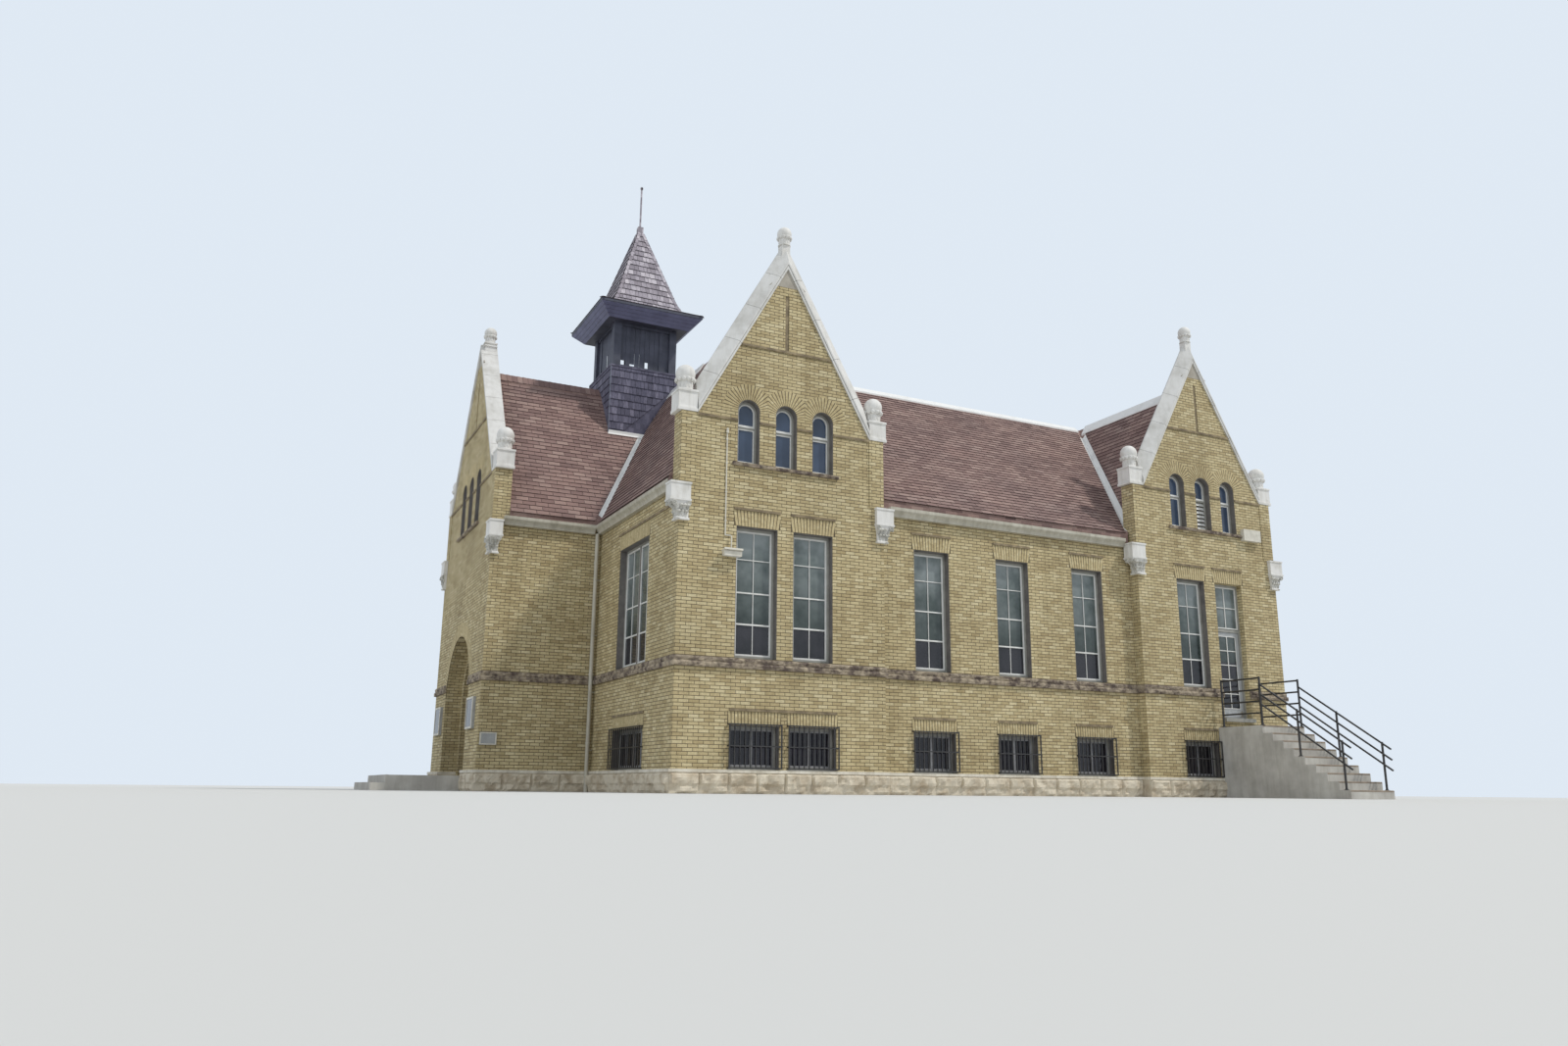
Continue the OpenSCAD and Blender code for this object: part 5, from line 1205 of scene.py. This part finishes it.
stage = [stage_side(0, [11.12, 11.055, 11.06, 11.24, 11.065, 11.06], bays=(11.19, 11.06)),
         stage_side(-90, [11.06, 11.06, 11.06, 11.55, 11.06, 11.06])]
for degrees in (180, 90):
    stage.append(stage_side(degrees, [11.06, 11.06, 11.10, 11.06, 11.06, 11.06],
                            [11.52, 11.55, 11.50, 11.54, 11.50, 11.53], (12.05, 12.05)))
piece("belfry_boards", joined(stage), DARK_WOOD)

planks = []
for i in range(4):
    plank = block((-1.5, 0.004 + 0.105 * i, 0.0), (1.5, 0.101 + 0.105 * i, 0.009), 0.002)
    planks.append(laid(plank, on_slope((TOWER_X, TOWER_Y - 1.112, 12.227), (-1, 0, 0), (0, -0.31, 0.30)),
                       *[((TOWER_X, TOWER_Y, 0), (way, 1, 0)) for way in (1, -1)]))
piece("belfry_soffit_boards", joined(four_sides(joined(planks))), SOFFIT_WOOD)

# %% [markdown]
# White flashing lies along the foot of the belfry's base, and thin strips of weathered
# metal cover the corners where its shingles meet.

# %% Flashing and corner strips
foot_line = on_slope((west_x - 0.02, south_y - 0.012, left_at - 0.012 * SLOPE_LEFT + 0.03), (1, 0, 0),
                     (0, 1, SLOPE_LEFT))
strips = joined([laid(block((0, -0.075, 0), (1.02, 0.0, 0.006), 0.001), foot_line),
                 block((west_x - 0.02, south_y - 0.026, left_at),
                       (west_x + 1.0, south_y - 0.022, left_at + 0.075), 0.001)])
piece("belfry_flashing", hung(strips, [at(), mirror_y(TOWER_Y)]), WHITE_METAL)

corners = []
for degrees, foot in ((0, left_at + 0.01), (90, 10.18), (180, 10.18), (270, left_at + 0.01)):
    strip = joined([block((west_x - 0.027, south_y - 0.027, BASE_LOW), (west_x - a, south_y - b, BASE_TOP))
                    for a, b in ((0.024, 0.006), (0.006, 0.024))])
    corners.append(laid(strip, about_tower(degrees), ((0, 0, foot), (0, 0, -1))))
piece("belfry_corner_strips", joined(corners), CORNER_METAL)

# %% [markdown]
# Below each corner block at the eaves sits a carved capital: two rows of upright leaves
# on its bell, with small scrolls under the block's corners. A leaf is a ball flattened
# to a blade whose upper end is pulled forward, as a carver lets the tip stand free. The
# leaves are set round the bell, and the finished set is hung on every corner.

# %% Carved capitals
def carved_leaf(width, height, out):
    leaf = ball(1.0, 10, 8, (width / 2, 0.016, height / 2))
    pick(leaf, "vertices", lambda vert: vert.co.z > height * 0.18)
    with editing(leaf, False):
        bpy.ops.transform.translate(value=(0, -out, -height * 0.05))
        bpy.ops.transform.resize(value=(1.25, 1.3, 0.8), center_override=(0, 0, height * 0.3))
    return leaf


COIL = ((1, 0), (1, 0.03), (0.72, 0.034), (0.68, 0.024), (0.3, 0.024), (0.26, 0.04), (0.1, 0.044))
turn_side, turn_corner = at(-0.055, -0.055) @ spin(-90), at(-0.058, -0.058) @ spin(-45)
coil = laid(turned([(0.046 * r, z) for r, z in COIL], 20), spin(90, "X"))
low_spots = [at(x, -0.058) for x in (-0.02, 0.055, 0.13)] + [turn_corner]
low_spots += [turn_side @ at(x, -0.003) for x in (-0.17, -0.095, -0.03)]
high_spots = [at(x, -0.064) for x in (0.018, 0.093, 0.165)] + [turn_corner @ at(0, -0.03)]
high_spots += [turn_side @ at(x, -0.035) for x in (-0.14, -0.065)]
coil_spots = [at(x, -0.088) for x in (-0.135, 0.175)] + [at(-0.190, y) @ spin(-90) for y in (-0.02, 0.13)]
carving = [block((-0.085, -0.072, 5.232), (0.20, 0.02, 5.252), 0.006),
           block((-0.072, -0.085, 5.232), (0.0, 0.165, 5.252), 0.006)]
for made, z, spots in ((carved_leaf(0.062, 0.15, 0.022), 5.355, low_spots),
                       (carved_leaf(0.070, 0.16, 0.036), 5.475, high_spots), (coil, 5.545, coil_spots)):
    carving.append(hung(made, [at(0, 0, z) @ spot for spot in spots]))
corner_walls = [WALLS[wall] @ turn
                for wall, (width, kneel) in GABLES.items() for turn in (at(), mirror_x(width / 2))]
piece("capital_carving", hung(smoothed(joined(carving), 60), corner_walls), CARVED_STONE)

# %% [markdown]
# Fittings on the walls. The floodlight has a tilted hood and a pale lens, and its
# conduit is clipped to the wall and ends in an insulator. Straps hold the downspout,
# and hangers cross the gutters.

# %% Lamps, conduit and gutter hangers
LAMP_X, LAMP_Z = 1.12, 4.58
hood = rotated(block((LAMP_X - 0.20, -0.20, LAMP_Z + 0.085), (LAMP_X + 0.20, -0.03, LAMP_Z + 0.125), 0.004),
               math.radians(10), "X", (LAMP_X, -0.03, LAMP_Z + 0.1))
head = laid(turned([(0.024, 0), (0.030, 0.01), (0.030, 0.05), (0.020, 0.06), (0.028, 0.075), (0.028, 0.095),
                    (0.012, 0.11)], 20), at(LAMP_X - 0.12, -0.026, 7.14))
clips = [block((LAMP_X - 0.145, -0.027, z), (LAMP_X - 0.095, -0.001, z + 0.022), 0.003)
         for z in (5.3, 5.9, 6.5, 7.0)]
piece("lamp_hood_and_conduit_head", joined([hood, head] + clips), LAMP_METAL)
lens = block((LAMP_X - 0.17, -0.155, LAMP_Z - 0.004), (LAMP_X + 0.17, -0.05, LAMP_Z + 0.003), 0.002)
piece("floodlight_lens", lens, WHITE_PAINT)

straps = []
for z in (0.9, 2.2, 3.5, 4.8):
    strap = turned([(0.049, 0), (0.050, 0.002), (0.050, 0.028), (0.049, 0.03)], 24)
    straps += [laid(strap, at(-0.115, 4.985, z)),
               block((-0.075, 5.02, z + 0.004), (-0.002, 5.08, z + 0.026), 0.002)]
for wall, start, end in (("main_front", 0.6, 6.7), ("main_rear", 0.6, 6.7), ("wing_a_side", 0.6, 4.6),
                         ("left_front", 0.5, 2.1), ("wing_c_side", 0.6, 8.4), ("left_rear", 0.5, 2.1)):
    last = max(2, round((end - start) / 0.8)) - 1
    hanger = block((-0.012, -0.168, 6.1005), (0.012, -0.062, 6.1045), 0.001)
    xs = [start + (end - start) * i / last for i in range(last + 1)]
    straps.append(hung(hanger, [WALLS[wall] @ at(x) for x in xs]))
piece("gutter_straps", joined(straps), GUTTER_METAL)

# %% [markdown]
# The notice boards are flat cases with a raised frame and a pane over an empty back
# board. The stairs have rounded nosings, and each rail post stands in a flange.

# %% Boards, nosings and flanges
portal_wall, mid = WALLS["left_gable"], LEFT_D / 2
board_spots = [portal_wall @ at(x) for x in (0.8, LEFT_D - 0.8)]
small_rim = ring_frame(0.36, 0.27, 0.025, -0.068, 0.010, 0.98)
rims = [hung(ring_frame(0.70, 0.70, 0.045, -0.074, 0.016, 1.35), board_spots),
        laid(small_rim, WALLS["left_front"] @ at(0.22))]
piece("board_frames", joined(rims), LAMP_METAL)
panes = hung(block((-0.30, -0.0645, 1.40), (0.30, -0.0605, 2.00)), board_spots)
piece("board_panes", panes, GLASS)

LANDING_Z, STEPS, TREAD, LANDING_D, FLIGHT_L, FLIGHT_R = 1.65, 9, 0.27, 1.3, 2.29, 3.69
step_rise = LANDING_Z / STEPS


def nosing(x0, x1, edge, top):
    return block((x0, edge - 0.004, top - 0.035), (x1, edge + 0.045, top + 0.004), 0.010, 3)


nosings = [nosing(FLIGHT_L + 0.004, FLIGHT_R - 0.004, -LANDING_D - TREAD * i, LANDING_Z - step_rise * i)
           for i in range(STEPS)]
sills = [block((mid - 1.496, y, z), (mid + 1.496, y + 0.056, z + 0.039), 0.010, 3)
         for y, z in ((-1.656, 0.295), (-1.956, 0.130))]
edges = joined([laid(joined(nosings), door_wall), laid(joined(sills), portal_wall)])
piece("stair_nosings", edges, STEP_EDGE)

posts = [(-0.13, 0), (-1.27, 0), (-LANDING_D - 3.5 * TREAD, 4), (-LANDING_D - 7.5 * TREAD, 8)]
flange_spots = [door_wall @ at(x, y, LANDING_Z - step_rise * down)
                for x in (FLIGHT_L + 0.05, FLIGHT_R - 0.05) for y, down in posts]
flange = turned([(0.060, 0), (0.060, 0.008), (0.034, 0.012), (0.032, 0.03)], 20)
piece("rail_flanges", hung(flange, flange_spots), BLACK_PAINT)

# %% [markdown]
# The portal's doors are deep in the arch. Each leaf has two sunk panels with a moulding
# round them, a pull and a kick plate, and the half-round top is boarded.

# %% Portal details
FACE, PORTAL_FLOOR, BOARD_PITCH, HEAD_RADIUS = 1.0402, 0.33, 0.142, 0.955
back, grip_y = FACE - 0.0003, FACE - 0.055
rail_low, rail_top = PORTAL_SPRING - 0.05, PORTAL_SPRING + 0.05
trim, metal = [block((mid - 0.99, FACE - 0.03, rail_low), (mid + 0.99, back, rail_top), 0.008, 2)], []
for leaf, grip in ((mid - 1.01, mid - 0.07), (mid, mid + 0.07)):
    for z in (PORTAL_FLOOR + 0.14, PORTAL_FLOOR + 1.03):
        mould = ring_frame(0.73, 0.75, 0.032, FACE - 0.006, 0.026, z, edge=0.006)
        panel = block((leaf + 0.22, FACE + 0.004, z + 0.08), (leaf + 0.79, FACE + 0.0205, z + 0.67), 0.012, 2)
        trim += [laid(mould, at(leaf + 0.505)), panel]
    metal += [rod((grip, grip_y, 1.22), (grip, grip_y, 1.48), 0.011),
              block((leaf + 0.06, FACE - 0.003, PORTAL_FLOOR + 0.015),
                    (leaf + 0.95, FACE - 0.0002, PORTAL_FLOOR + 0.12), 0.001)]
    metal += [rod((grip, grip_y, z), (grip, FACE, z), 0.009) for z in (1.24, 1.46)]
for i in range(-6, 7):
    x = BOARD_PITCH * i
    top = PORTAL_SPRING + math.sqrt(HEAD_RADIUS ** 2 - x * x) - 0.01
    left_edge, right_edge = mid + x - 0.064, mid + x + 0.064
    trim.append(block((left_edge, FACE - 0.014, rail_top + 0.002), (right_edge, back, top), 0.004))
piece("portal_door_trim", laid(joined(trim), portal_wall), DOOR_WOOD)
piece("portal_door_pulls", laid(bevelled(joined(metal), 0.0008), portal_wall), STEEL)
